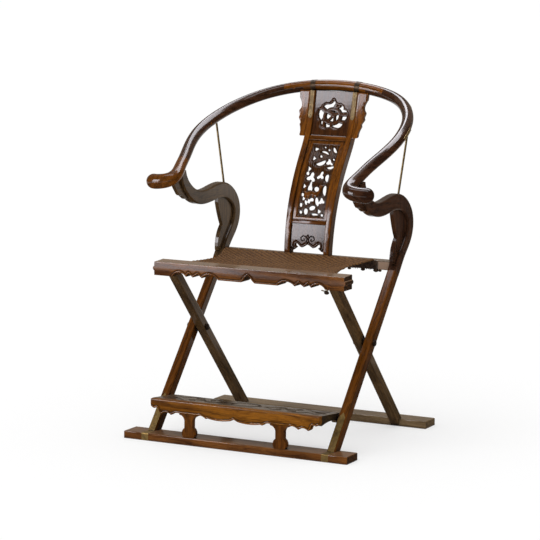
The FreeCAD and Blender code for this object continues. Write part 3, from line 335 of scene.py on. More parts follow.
def make_wood(name, tone, lay, gloss=0.26, corner=0.012, carved=None, top_sheen=0.0, x_face_shade=0.0,
              bare=None, coat=WOOD_COAT):
    """Polished wood: painted shade can darken it between two depths of carving and on faces that look along
    X (sawn ends and sides), a painted sheen can pale its level tops, and it can be bare beyond a distance
    from the middle and below a height."""
    dark, middle, light = WOODS[tone]
    made, tree, surface = new_material(name)
    vector = lay(tree)
    grain = use_group(tree, GRAIN, {"Vector": vector})
    wear_and_shade = use_group(tree, WEAR_AND_SHADE, {"Vector": vector, "Corner": corner})
    bands = times(tree, grain["Bands"], 0.3)
    figure = math_node(tree, "MULTIPLY_ADD", grain["Fibres"], 0.75, bands)
    base = mix_colour(tree, remap(tree, figure, 0.28, 0.72), dark, middle)
    warm = times(tree, grain["Patches"], remap(tree, grain["Fibres"], 0.35, 0.7))
    base = mix_colour(tree, times(tree, warm, 0.7), base, light)
    base = mix_colour(tree, remap(tree, grain["Patches"], 0.5, 0.05, 0, 0.4), base, dark)
    base = mix_colour(tree, times(tree, grain["Pores"], 0.5), base, dark)
    base = mix_colour(tree, times(tree, wear_and_shade["Rubbed"], 0.5), base, light)
    facing = parts_of(tree, put(tree, "ShaderNodeNewGeometry").outputs["Normal"])
    # Painted sheen: level tops are lightened.
    if top_sheen:
        level = remap(tree, facing["Z"], 0.5, 0.9, 0, top_sheen)
        base = mix_colour(tree, times(tree, level, grain["Fibres"]), base, TOP_SHEEN)
    # Painted shade: faces that look along X, sawn ends and sides alike, are darkened.
    if x_face_shade:
        side_shade = remap(tree, math_node(tree, "ABSOLUTE", facing["X"]), 0.6, 0.9, 0, x_face_shade)
        base = mix_colour(tree, side_shade, base, PAINTED_SHADE)
    if bare:
        beyond, below = bare
        parts = parts_of(tree, object_place(tree))
        out = remap(tree, math_node(tree, "ABSOLUTE", parts["X"]), beyond, beyond + 0.002, 0, 0.85)
        under = remap(tree, parts["Z"], below, below - 0.001)
        base = mix_colour(tree, times(tree, out, under), base, BARE)
    # Painted shade: the deeper the carving, the darker the wood.
    if carved:
        sunk = put(tree, "ShaderNodeAttribute", attribute_name="carved_depth").outputs["Fac"]
        base = mix_colour(tree, remap(tree, sunk, *carved, 0, 0.8), base, PAINTED_SHADE)
    # Painted shade: corners found by ambient occlusion are darkened.
    base = mix_colour(tree, times(tree, wear_and_shade["Corner Shade"], 0.85), base, PAINTED_SHADE)
    tree.links.new(base, surface["Base Color"])
    dull = math_node(tree, "MULTIPLY_ADD", grain["Patches"], 0.10, gloss)
    dull = math_node(tree, "MULTIPLY_ADD", wear_and_shade["Corner Shade"], 0.3, dull)
    tree.links.new(dull, surface["Roughness"])
    height = math_node(tree, "SUBTRACT", times(tree, grain["Fibres"], 0.6), grain["Pores"])
    raise_surface(tree, surface, height, 0.12, 0.0003)
    surface["Specular IOR Level"].default_value = WOOD_SPECULAR
    surface["Coat Weight"].default_value = coat
    surface["Coat Roughness"].default_value = WOOD_COAT_ROUGHNESS
    return made


def make_brass(name):
    """Brass that is stained in patches, rubbed bright on its edges and darkened with painted shade in its
    corners.
    """
    clean, tarnished, bright = BRASSES[name]
    made, tree, surface = new_material(name)
    place = object_place(tree)
    wear_and_shade = use_group(tree, WEAR_AND_SHADE, {"Vector": place, "Edge": 0.0008, "Corner": 0.004})
    stain = remap(tree, noise(tree, place, 70.0, 4.0, 0.6), 0.3, 0.7)
    base = mix_colour(tree, stain, clean, tarnished)
    base = mix_colour(tree, times(tree, wear_and_shade["Rubbed"], 0.8), base, bright)
    # Painted shade: corners are darkened.
    base = mix_colour(tree, wear_and_shade["Corner Shade"], base, BRASS_CORNER_SHADE)
    tree.links.new(base, surface["Base Color"])
    tree.links.new(remap(tree, stain, 0, 1, 0.34, 0.6), surface["Roughness"])
    raise_surface(tree, surface, noise(tree, place, 420.0, 3.0), 0.15, 0.0003)
    surface["Metallic"].default_value = METALLIC
    return made


def make_iron():
    """Black iron with rust in patches."""
    made, tree, surface = new_material("dark_iron")
    rust = remap(tree, noise(tree, object_place(tree), 260.0, 4.0, 0.65), 0.4, 0.7)
    tree.links.new(mix_colour(tree, rust, IRON_BLACK, IRON_RUST), surface["Base Color"])
    tree.links.new(remap(tree, rust, 0, 1, 0.38, 0.7), surface["Roughness"])
    raise_surface(tree, surface, rust, 0.25, 0.0004)
    surface["Metallic"].default_value = METALLIC
    return made


def drawn_out(tree, flat, squeeze, turn, scale):
    """Noise that is longer one way, turned over the mat."""
    laid = stretched(tree, flat, (1, squeeze, 1), (0, 0, math.radians(turn)))
    return noise(tree, laid, scale, 2.0, 0.6)


def make_cord():
    """Brown plaited cord, darkened with painted shade low between the cords and in the gaps, and paler
    where it stands up, on the seat's own map.
    """
    made, tree, surface = new_material("woven_cord")
    flat = put(tree, "ShaderNodeUVMap", uv_map="weave").outputs["UV"]
    stands = put(tree, "ShaderNodeAttribute", attribute_name="cord_height").outputs["Fac"]
    age = remap(tree, noise(tree, flat, 16.0, 4.0, 0.65), 0.3, 0.7)
    fuzz = noise(tree, flat, 700.0, 3.0, 0.7)
    twist = drawn_out(tree, flat, 0.35, CORD_TWIST_TURN, 420.0)
    specks = drawn_out(tree, flat, 0.5, PLAIT_TURN, 190.0)
    # Painted shade: the lower the cord, the darker.
    base = mix_colour(tree, remap(tree, stands, 0.15, 0.75), CORD_LOW_SHADE, CORD_TOP)
    base = mix_colour(tree, times(tree, age, 0.5), base, CORD_AGED)
    base = mix_colour(tree, remap(tree, twist, 0.42, 0.62, 0, 0.5), base, CORD_TWIST)
    base = mix_colour(tree, remap(tree, specks, 0.46, 0.66, 0, 0.75), base, CORD_SPECK)
    # Painted shade: the gaps are darker still.
    gaps = remap(tree, stands, 0.45, 0.1)
    base = mix_colour(tree, times(tree, gaps, 0.7), base, CORD_GAP_SHADE)
    tree.links.new(base, surface["Base Color"])
    tree.links.new(remap(tree, fuzz, 0.2, 0.8, 0.72, 0.95), surface["Roughness"])
    raise_surface(tree, surface, math_node(tree, "MULTIPLY_ADD", fuzz, 0.5, twist), 0.6, 0.0006)
    surface["Specular IOR Level"].default_value = CORD_SPECULAR
    return made


def make_cord_end(name):
    """Dusty cord, with its strands along its length."""
    shade, strand_colour, dusty = CORD_ENDS[name]
    made, tree, surface = new_material(name)
    place = object_place(tree)
    dust = remap(tree, noise(tree, place, 120.0, 4.0, 0.65), 0.4, 0.75)
    strand = noise(tree, stretched(tree, place, (1, 1, 0.3)), 900.0, 2.0, 0.6)
    base = mix_colour(tree, remap(tree, strand, 0.35, 0.65), shade, strand_colour)
    base = mix_colour(tree, times(tree, dust, 0.5), base, dusty)
    tree.links.new(base, surface["Base Color"])
    tree.links.new(remap(tree, dust, 0, 1, 0.75, 0.95), surface["Roughness"])
    raise_surface(tree, surface, strand, 0.6, 0.0006)
    surface["Specular IOR Level"].default_value = CORD_END_SPECULAR
    return made


# Boards with rounded edges: sizes in millimetres, and the angle in degrees from which an edge is sharp
SOFT_EDGE = 1.6
SOFT_EDGE_ANGLE = 50.0
WELD_REACH = 0.01
SOFTENED = (
    "splat_wing_left", "splat_wing_right", "splat_upper_bar", "splat_lower_bar",
    "splat_stile_left", "splat_stile_right", "post_spandrel_left", "post_spandrel_right",
    "footrest_foot_left", "footrest_foot_right", "footrest_board", "front_base_rail", "rear_base_rail",
)

# Finish of each node or pair of nodes that doesn't carry its finish's own name
# The right neck and post take a darker copy of their wood: painted shade for the side away from the light.
FINISH_OF = {
    "shoulder_rail": "rail", "arm_rail": "rail", "hand_grip": "rail", "hand_grip_left": "lit_grip",
    "scarf_pins": "crest_rail", "goose_neck": "neck", "goose_neck_right": "shaded_neck",
    "grip_spandrel": "neck", "grip_spandrel_right": "shaded_neck", "arm_post": "post",
    "arm_post_right": "shaded_post", "post_spandrel": "post", "post_spandrel_right": "shaded_post",
    "splat_stile": "splat_frame", "splat_wing": "splat_frame", "splat_lower_bar": "splat_bar",
    "splat_upper_bar": "splat_bar", "medallion_panel": "panel", "apron_panel": "panel",
    "footrest_foot": "foot", "footrest_side": "footrest_board", "tie_rod": "rod_brass",
    "leg_straps": "dark_brass", "base_bands": "dark_brass", "joint_plates": "dark_brass",
    "crest_bands": "crest_brass", "splat_straps": "splat_brass", "pivot_pins": "iron",
    "pivot_washers": "iron", "footrest_pins": "iron", "seat_webbing": "cord",
}


def leg_direction(node):
    """Along a leaning leg, from the box round it."""
    low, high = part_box(node)
    lean = 1 if node.startswith("long") else -1
    return Vector((0, lean * (high.y - low.y), high.z - low.z)).normalized()


def make_finishes():
    """Every finish of the chair, with each wood's grain laid along its piece."""
    across = straight_grain((1, 0, 0))
    upright = straight_grain((0, 0, 1))
    forward = straight_grain((0, 1, 0))
    splat = straight_grain(SPLAT_LEAN)
    long_leg = straight_grain(leg_direction("long_leg_right"))
    short_leg = straight_grain(leg_direction("short_leg_right"))
    made = {
        "front_base_rail": make_wood("base_wood_front", "russet", across, top_sheen=0.3, x_face_shade=0.75),
        "rear_base_rail": make_wood("base_wood_rear", "driftwood", across, 0.34, x_face_shade=0.4),
        "front_seat_rail": make_wood("seat_rail_wood", "russet", across, corner=0.006, carved=(0.5, 1.4),
                                     top_sheen=0.9, x_face_shade=0.85),
        "rear_seat_rail": make_wood("rear_rail_wood", "umber", across, 0.4, top_sheen=0.9,
                                    bare=(0.221, 0.472)),
        "crest_rail": make_wood("crest_wood", "amber", bent_grain, 0.22, coat=0.5),
        "footrest_board": make_wood("footrest_wood", "oak", across, 0.3, x_face_shade=0.85),
        "footrest_apron": make_wood("footrest_front_wood", "gold", across, corner=0.006, carved=(0.5, 1.4)),
        "splat_bar": make_wood("splat_bar_wood", "amber", across, corner=0.006),
        "splat_frame": make_wood("splat_frame_wood", "amber", splat, corner=0.005, x_face_shade=0.6),
        "foot": make_wood("foot_wood", "honey", upright, corner=0.006),
        "panel": make_wood("panel_wood", "chestnut", splat, corner=0.005, carved=(0.8, 3.0)),
        "carved_panel": make_wood("carved_panel_wood", "amber", splat, corner=0.005, carved=(0.6, 2.6)),
        "rail": make_wood("rail_wood", "walnut", bent_grain, 0.2),
        # Painted light: a lighter copy of the rail wood for the left grip, on the lit side.
        "lit_grip": make_wood("lit_grip_wood", "honey", bent_grain, 0.2),
        "neck": make_wood("neck_wood", "umber", forward, 0.3),
        "post": make_wood("post_wood", "umber", upright, 0.3),
        # Painted shade: darker copies of the neck and post wood for the right side.
        "shaded_neck": make_wood("shaded_neck_wood", "walnut", forward, 0.3),
        "shaded_post": make_wood("shaded_post_wood", "walnut", upright, 0.3),
        "long_leg": make_wood("long_leg_wood", "honey", long_leg, x_face_shade=0.45),
        "short_leg": make_wood("short_leg_wood", "umber", short_leg),
        "cord": make_cord(),
        "iron": make_iron(),
    }
    for name in BRASSES:
        made[name] = make_brass(name)
    for name in CORD_ENDS:
        made[name] = make_cord_end(name)
    return made


def dress_nodes():
    for name, node in NODES.items():
        pair = name.removesuffix("_left").removesuffix("_right")
        finish = FINISH_OF.get(name, FINISH_OF.get(pair, pair))
        node.data.materials.clear()
        node.data.materials.append(FINISHES[finish])


def soften_edges():
    """Rounds the sharp edges of the sawn boards by a little, as handling has."""
    for name in SOFTENED:
        weld = NODES[name].modifiers.new("weld", "WELD")
        weld.merge_threshold = WELD_REACH * MM
        round_off = NODES[name].modifiers.new("round_off", "BEVEL")
        round_off.width = SOFT_EDGE * MM
        round_off.segments = 2
        round_off.limit_method = "ANGLE"
        round_off.angle_limit = math.radians(SOFT_EDGE_ANGLE)


def make_studio():
    scene = bpy.context.scene
    scene.view_settings.view_transform = "Standard"
    world = bpy.data.worlds.new("surround")
    world.use_nodes = True
    scene.world = world
    tree = world.node_tree
    strength = remap(tree, white_to_the_eye(tree), 0, 1, SURROUND, 1)
    tree.links.new(strength, tree.nodes["Background"].inputs["Strength"])
    tree.nodes["Background"].inputs["Color"].default_value = (1, 1, 1, 1)
    lamp = bpy.data.lights.new("broad_sun", "SUN")
    lamp.energy = SUN_STRENGTH
    lamp.angle = math.radians(SUN_SPREAD)
    sun = link(bpy.data.objects.new("broad_sun", lamp))
    sun.rotation_mode = "QUATERNION"
    sun.rotation_quaternion = compass(SUN_TURN, SUN_HEIGHT).to_track_quat("Z", "Y")
    sun.visible_glossy = False
    mesh = bpy.data.meshes.new("floor")
    half = FLOOR_SIZE / 2
    corners = [(-half, -half, 0), (half, -half, 0), (half, half, 0), (-half, half, 0)]
    mesh.from_pydata(corners, [], [(0, 1, 2, 3)])
    floor = link(bpy.data.objects.new("floor", mesh))
    mesh.materials.append(make_floor_paint())
    make_cards()


def white_to_the_eye(tree):
    """1 where the surroundings are seen or mirrored, and 0 where they light the chair."""
    seen = put(tree, "ShaderNodeLightPath").outputs
    white = math_node(tree, "MAXIMUM", seen["Is Camera Ray"], seen["Is Glossy Ray"])
    return math_node(tree, "MAXIMUM", white, seen["Is Transmission Ray"])


def make_floor_paint():
    """Matt white that keeps the shadow, lifted towards white where it is seen."""
    made, tree, surface = new_material("pale_floor")
    surface["Base Color"].default_value = FLOOR_COLOUR
    surface["Roughness"].default_value = FLOOR_ROUGHNESS
    surface["Specular IOR Level"].default_value = 0.0
    lift = times(tree, white_to_the_eye(tree), FLOOR_LIFT)
    glow = put(tree, "ShaderNodeEmission").outputs[0]
    paint = tree.nodes["Principled BSDF"].outputs[0]
    both = put(tree, "ShaderNodeMixShader", {0: lift, 1: paint, 2: glow}).outputs[0]
    tree.links.new(both, tree.nodes["Material Output"].inputs["Surface"])
    return made


def mirrored_only(name, corners, faces, colour, glow):
    """A glowing card that shows in reflections and lights nothing."""
    mesh = bpy.data.meshes.new(name)
    mesh.from_pydata(corners, [], faces)
    thing = link(bpy.data.objects.new(name, mesh))
    made = bpy.data.materials.new(name)
    made.use_nodes = True
    tree = made.node_tree
    tree.nodes.clear()
    light = put(tree, "ShaderNodeEmission", {"Color": colour, "Strength": glow})
    put(tree, "ShaderNodeOutputMaterial", {"Surface": light.outputs[0]})
    mesh.materials.append(made)
    thing.visible_camera = False
    thing.visible_diffuse = False
    thing.visible_transmission = False
    thing.visible_shadow = False


def make_cards():
    for kind, colour in ((CARDS, CARD_COLOUR), (FLAGS, FLAG_COLOUR)):
        for name, (middle, facing, width, height, glow) in kind.items():
            turn = Vector(facing).to_track_quat("Z", "Y")
            side = turn @ Vector((width / 2, 0, 0))
            rise = turn @ Vector((0, height / 2, 0))
            at = Vector(middle)
            corners = [at - side - rise, at + side - rise, at + side + rise, at - side + rise]
            mirrored_only(name, corners, [(0, 1, 2, 3)], colour, glow)
    for name, start, glow in (("front_wall", -90, WALL_GLOW_FRONT), ("back_wall", 90, WALL_GLOW_BACK)):
        corners = []
        for i in range(WALL_STEPS + 1):
            foot = compass(start + 180 * i / WALL_STEPS, 0) * WALL_RADIUS
            corners += [foot, foot + Vector((0, 0, WALL_HEIGHT))]
        faces = [(2 * i, 2 * i + 2, 2 * i + 3, 2 * i + 1) for i in range(WALL_STEPS)]
        mirrored_only(name, corners, faces, FLAG_COLOUR, glow)


# Carved boards: a flat drawing in millimetres, X to the right and Z up, cut and rounded on a board's front

FAR = 1e3
BEAD = 4.0
BEAD_SHOULDER = 2.2
SECTION_STEPS = 80
# Share of a grid step from a cut within which a place is drawn onto it
CUT_REACH = 0.62
# Share of a board's thickness that carving may take, and the least wood that it leaves
DEEPEST_CARVING = 0.8
THINNEST_WOOD = 0.8


def run_distance(x, z, start, end):
    """Distance to a straight run, and the share of the run that is nearest."""
    dx = end[0] - start[0]
    dz = end[1] - start[1]
    share = ((x - start[0]) * dx + (z - start[1]) * dz) / (dx * dx + dz * dz + 1e-12)
    share = np.clip(share, 0, 1)
    return np.hypot(x - start[0] - share * dx, z - start[1] - share * dz), share


def line_distance(x, z, points):
    return np.min([run_distance(x, z, a, b)[0] for a, b in zip(points, points[1:])], axis=0)


def inside_outline(x, z, points):
    """Distance to a closed outline, positive inside it."""
    closed = list(points) + [points[0]]
    within = np.zeros(x.shape, bool)
    for a, b in zip(closed, closed[1:]):
        if a[1] != b[1]:
            crossing = a[0] + (z - a[1]) * (b[0] - a[0]) / (b[1] - a[1])
            within ^= ((a[1] > z) != (b[1] > z)) & (x < crossing)
    edge = line_distance(x, z, closed)
    return np.where(within, edge, -edge)


def inside_stroke(x, z, points, widths):
    """Distance into a brush stroke whose half width runs through the widths, positive inside it."""
    stops = np.linspace(0, 1, len(widths))
    halves = np.interp(np.linspace(0, 1, len(points)), stops, widths)
    best = np.full(x.shape, -FAR)
    for i in range(len(points) - 1):
        away, share = run_distance(x, z, points[i], points[i + 1])
        best = np.maximum(best, halves[i] + share * (halves[i + 1] - halves[i]) - away)
    return best


def flowing(points, per_span=6):
    """A smooth line through a few points."""
    ends = [points[0]] + list(points) + [points[-1]]
    made = []
    for p, a, b, n in zip(ends, ends[1:], ends[2:], ends[3:]):
        for step in range(per_span):
            t = step / per_span
            made.append(tuple(
                0.5 * (2 * a[k] + (b[k] - p[k]) * t + (2 * p[k] - 5 * a[k] + 4 * b[k] - n[k]) * t * t
                       + (3 * a[k] - p[k] - 3 * b[k] + n[k]) * t ** 3)
                for k in range(2)))
    return made + [tuple(points[-1])]


def spiral(centre, start, end, first, last, steps=18):
    """A curl from one radius and angle to another, angles in degrees from +X towards +Z."""
    made = []
    for i in range(steps + 1):
        share = i / steps
        turn = math.radians(first + share * (last - first))
        reach = start + share * (end - start)
        made.append((centre[0] + reach * math.cos(turn), centre[1] + reach * math.sin(turn)))
    return made


def dome(field, width):
    """Round shoulder: 0 at an edge, 1 from the given width inwards."""
    share = np.clip(field / width, 0, 1)
    return np.sqrt(np.maximum(0, 1 - (1 - share) ** 2))


def beside_bead(away, width, shoulder):
    """1 beside a bead of some width that runs along an edge, and 0 on top of it."""
    return 1 - dome(away, BEAD_SHOULDER) * dome(width - away, shoulder)


def flip(points):
    return [(-x, z) for x, z in points]


def surface_of(node):
    mesh = NODES[node].data
    return BVHTree.FromPolygons([v.co for v in mesh.vertices], [p.vertices for p in mesh.polygons])


def board_section(node, x):
    """Heights up a board along one upright line, and its front and back there, all in millimetres."""
    surface = surface_of(node)
    low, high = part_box(node)
    heights = []
    fronts = []
    backs = []
    for z in np.linspace(low.z + MM, high.z - MM, SECTION_STEPS):
        near = surface.ray_cast(Vector((x * MM, low.y - 1, z)), Vector((0, 1, 0)))[0]
        far = surface.ray_cast(Vector((x * MM, high.y + 1, z)), Vector((0, -1, 0)))[0]
        if near and far:
            heights.append(z / MM)
            fronts.append(near.y / MM)
            backs.append(far.y / MM)
    return np.array(heights), np.array(fronts), np.array(backs)


def flat_back(x, z, wood):
    return np.zeros(x.shape)


def board_grid(node, field, step):
    """Places over a board, drawn onto a cut where they lie near it, with their distance into the wood and
    whether they lie on a cut."""
    low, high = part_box(node)
    columns = round((high.x - low.x) / MM / step)
    rows = round((high.z - low.z) / MM / step)
    x, z = np.meshgrid(np.linspace(low.x / MM, high.x / MM, columns + 1),
                       np.linspace(low.z / MM, high.z / MM, rows + 1), indexing="ij")
    wood = field(x, z)
    slope_x, slope_z = np.gradient(wood, x[:, 0], z[0])
    steep = slope_x ** 2 + slope_z ** 2 + 1e-6
    on_cut = np.abs(wood) < CUT_REACH * step
    shift = np.clip(wood / steep, -step, step)
    x = np.where(on_cut, np.clip(x - shift * slope_x, low.x / MM, high.x / MM), x)
    z = np.where(on_cut, np.clip(z - shift * slope_z, low.z / MM, high.z / MM), z)
    return x, z, wood, on_cut


def wood_faces(wood, on_cut):
    """The grid's faces that lie in the wood, with three corners where a cut crosses a square."""
    index = np.arange(wood.size).reshape(wood.shape)
    corners = [index[:-1, :-1], index[1:, :-1], index[1:, 1:], index[:-1, 1:]]
    kept = ((wood >= 0) | on_cut).ravel()
    inner = ((wood > 0) & ~on_cut).ravel()
    solid = [kept[corner] for corner in corners]
    count = sum(s.astype(int) for s in solid)
    some = np.any([inner[corner] for corner in corners], axis=0)
    faces = np.stack(corners, axis=-1)[(count == 4) & some].tolist()
    for lost in range(4):
        pick = (count == 3) & ~solid[lost] & some
        left = [corners[k][pick] for k in range(4) if k != lost]
        faces += np.stack(left, axis=-1).tolist()
    return faces


def cut_board(name, node, field, depth, hollow, step, line_x, material, rounded=None):
    """Replaces a board by one cut to a field, positive in the wood, sunk at its front and hollowed behind.
    What is only rounded off an edge is taken off too, and doesn't count as carving."""
    x, z, wood, on_cut = board_grid(node, field, step)
    heights, fronts, backs = board_section(node, line_x)
    front = np.interp(z, heights, fronts)
    lean = np.interp(z, heights, np.gradient(fronts, heights))
    thick = np.interp(z, heights, backs - fronts)
    inward = np.where(on_cut, 0, wood)
    carved = depth(x, z, inward)
    sunk = np.clip(carved + rounded(z) if rounded else carved, 0, DEEPEST_CARVING * thick)
    thick = np.maximum(thick - hollow(x, z, inward), sunk + THINNEST_WOOD)
    upright = 1 / np.sqrt(1 + lean ** 2)
    face = np.stack([x, front + sunk * upright, z - sunk * lean * upright], axis=-1)
    rear = np.stack([x, front + thick, z], axis=-1)
    points = np.concatenate([face.reshape(-1, 3), rear.reshape(-1, 3)]) * MM
    return board_mesh(name, node, points, wood_faces(wood, on_cut), carved.ravel(), material)


def board_mesh(name, node, points, faces, carved, material):
    """Closes a board: its front faces, the same faces at the back, and walls along every cut."""
    total = len(carved)
    edges = dict.fromkeys(edge for face in faces for edge in zip(face, face[1:] + face[:1]))
    walls = [(q, p, p + total, q + total) for p, q in edges if (q, p) not in edges]
    behind = [tuple(p + total for p in reversed(face)) for face in faces]
    mesh = bpy.data.meshes.new(name)
    mesh.from_pydata(points, [], faces + behind + walls)
    depth = mesh.attributes.new("carved_depth", "FLOAT", "POINT")
    depth.data.foreach_set("value", np.concatenate([carved, 0 * carved]).astype(np.float32))
    return finished_piece(name, mesh, material, node)


def finished_piece(name, mesh, material, *nodes, slot="hardwood", sharp=40):
    """Tidies a mesh, gives it its material and sets it in the place of the nodes that it stands for."""
    work = bmesh.new()
    work.from_mesh(mesh)
    bmesh.ops.delete(work, geom=[v for v in work.verts if not v.link_faces], context="VERTS")
    bmesh.ops.recalc_face_normals(work, faces=work.faces)
    work.to_mesh(mesh)
    work.free()
    mesh.shade_smooth()
    mesh.set_sharp_from_angle(angle=math.radians(sharp))
    mesh.materials.clear()
    mesh.materials.append(material)
    piece = link(bpy.data.objects.new(name, mesh))
    if nodes:
        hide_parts(*nodes)
    return piece


# Splat panels, in millimetres: heights from the floor, depths from a panel's front, and upright lines
# along the panels' plain edges, where their fronts are read

PANEL_STEP = 0.85
PANEL_EDGE = 52.0
CARVED_PANEL_EDGE = 46.0
CARVING_FOOT = 580.0
CARVING_TALL = 186.0
CARVING_HALF = 37.0
CARVING_MARGIN = 3.0
CARVING_GROUND = 4.4
GAP_SPREAD = 0.6
LEAF_RISE = 2.6
BEAST_RISE = 1.5
VEIN_DEPTH = 0.9
MOULDING_WIDTH = 3.0
MOULDING_DEPTH = 2.0
BACK_HOLLOW = 2.6
BACK_RISE = 1.2
MEDALLION_MIDDLE = 852.5
MEDALLION_WIDE = 44.5
MEDALLION_TALL = 37.0
RIM_WIDTH = 5.0
RIM_DEPTH = 2.0
STEM_RISE = 3.6
APRON_STEP = 0.7
APRON_BEAD = BEAD + 0.8
APRON_GROUND = 2.6
SCROLL_DEPTH = 2.8

# Gaps of the carving: place across and up, half width, half height, tilt in degrees, number of points,
# their depth, and bend
CARVING_GAPS = [
    (-0.76, 0.95, 6.5, 5.0, 10, 3, 0.2, 0), (-0.08, 0.98, 2.6, 2.6, 0, 0, 0, 0),
    (0.30, 0.945, 3.0, 2.8, 0, 0, 0, 0), (0.78, 0.945, 8.5, 4.2, -48, 0, 0, 0.3),
    (0.06, 0.905, 11.0, 3.2, -16, 0, 0, -0.5), (-0.74, 0.82, 5.0, 6.0, 0, 3, 0.2, 0),
    (-0.21, 0.85, 3.6, 3.6, 0, 0, 0, 0), (0.89, 0.815, 3.2, 2.6, 0, 0, 0, 0),
    (-0.07, 0.755, 13.0, 5.0, 24, 0, 0, 0.5), (0.61, 0.77, 12.5, 9.0, -25, 3, 0.24, 0),
    (0.79, 0.70, 9.0, 3.6, 14, 0, 0, 0.4), (-0.90, 0.67, 5.0, 7.0, 10, 3, 0.2, 0),
    (-0.93, 0.60, 4.6, 4.8, 0, 0, 0, 0), (-0.55, 0.545, 14.5, 14.5, 80, 3, 0.28, 0),
    (0.20, 0.575, 10.0, 13.5, -35, 3, 0.28, 0), (0.75, 0.55, 5.2, 9.5, 0, 0, 0, 0.3),
    (-0.95, 0.42, 4.4, 6.0, 0, 3, 0.2, 0), (-0.45, 0.41, 13.5, 7.5, 90, 3, 0.2, 0),
    (0.10, 0.385, 6.8, 6.6, 0, 0, 0, 0), (0.79, 0.37, 5.0, 12.5, 5, 0, 0, 0.25),
    (-0.97, 0.295, 4.2, 4.6, 0, 0, 0, 0), (-0.82, 0.24, 4.6, 5.6, 0, 3, 0.2, 0),
    (-0.58, 0.185, 3.6, 6.0, 20, 0, 0, 0), (-0.34, 0.205, 4.0, 5.8, 12, 0, 0, 0),
    (-0.12, 0.23, 5.2, 4.8, 0, 0, 0, 0), (0.33, 0.205, 5.0, 11.0, 18, 0, 0, 0.2),
    (0.70, 0.215, 9.0, 9.4, -20, 3, 0.22, 0), (-0.95, 0.145, 3.8, 5.2, 0, 0, 0, 0),
    (0.02, 0.11, 8.6, 5.6, 24, 0, 0, 0), (-0.47, 0.055, 5.6, 7.8, 0, 0, 0, 0),
    (0.62, 0.068, 4.8, 5.6, 0, 3, 0.15, 0), (-0.88, 0.04, 3.8, 4.0, 0, 0, 0, 0),
    (0.30, 0.02, 8.0, 2.6, 0, 0, 0, 0), (0.89, 0.015, 3.4, 3.4, 0, 0, 0, 0),
]
# Stems of the medallion, as places in its half width and half height, with half widths in millimetres
STEM_WEIGHT = 1.15
MEDALLION_STEMS = [
    ([(0, 0.38), (0.36, 0.25), (0.54, -0.08), (0.46, -0.45), (0.13, -0.68), (-0.28, -0.62), (-0.5, -0.4),
      (-0.55, -0.15), (-0.47, 0.12), (-0.25, 0.32), (0, 0.38)], [4.6, 5.2, 4.4, 5.0, 4.6]),
    ([(0.06, 0.38), (0.12, 0.55), (0.2, 0.78)], [4.4, 5.4, 4.0]),
    ([(-0.46, 0.12), (-0.62, 0.26), (-0.78, 0.4)], [5.0, 5.2, 5.0]),
    ([(0.52, -0.02), (0.76, 0.02), (1.02, 0.02)], [4.4, 5.0, 4.6]),
    ([(0.44, -0.46), (0.64, -0.53), (0.84, -0.56)], [4.0, 4.2, 4.6]),
    ([(0, -0.68), (-0.03, -0.92)], [3.4, 3.6]),
    ([(-0.48, -0.42), (-0.53, -0.62), (-0.5, -0.98)], [4.0, 4.2, 5.0]),
    ([(-0.44, 0.18), (-0.18, 0.08), (0.04, -0.02)], [4.4, 5.2, 4.6]),
    ([(-0.02, 0.02), (0.1, -0.08)], [6.6, 6.2]),
    ([(0.04, -0.06), (-0.1, -0.28), (-0.32, -0.54)], [4.4, 3.8, 4.4]),
    ([(0.08, -0.08), (0.15, -0.32), (0.16, -0.64)], [4.4, 3.4, 3.8]),
    ([(0.1, -0.02), (0.3, 0.04), (0.46, 0.1)], [4.2, 3.4, 3.8]),
    ([(-0.62, -0.38), (-0.72, -0.5)], [4.0, 2.4]),
    ([(0.26, 0.5), (0.42, 0.62)], [3.4, 4.4]),
]


def board_edge(node, x, z):
    """Distance in from a board's four sides, with its width running evenly from foot to head."""
    corners = np.array([v.co for v in NODES[node].data.vertices]) / MM
    low = corners[:, 2].min()
    high = corners[:, 2].max()
    near_end = 0.12 * (high - low)
    foot = corners[corners[:, 2] < low + near_end, 0].max()
    head = corners[corners[:, 2] > high - near_end, 0].max()
    half = foot + (head - foot) * (z - low) / (high - low)
    return np.minimum(half - np.abs(x), np.minimum(z - low, high - z))


def outside_gaps(x, z, gaps, middle, unit_x, unit_z, spread):
    """Distance from the nearest gap of a carving, each gap grown by the spread, positive in the wood."""
    nearest = np.full(x.shape, FAR)
    for across, up, half_width, half_height, tilt, points, pinch, bend in gaps:
        dx = x - middle[0] - across * unit_x
        dz = z - middle[1] - up * unit_z
        c = math.cos(math.radians(tilt))
        s = math.sin(math.radians(tilt))
        u = (dx * c + dz * s) / half_width
        v = (dz * c - dx * s) / half_height
        long_way, short_way = (u, v) if half_width >= half_height else (v, u)
        short_way = short_way - bend * (long_way ** 2 - 0.5)
        reach = 1 - pinch + pinch * np.cos(points * np.arctan2(v, u))
        size = np.hypot(long_way, short_way) / reach
        nearest = np.minimum(nearest, (size - 1) * min(half_width, half_height))
    return nearest - spread


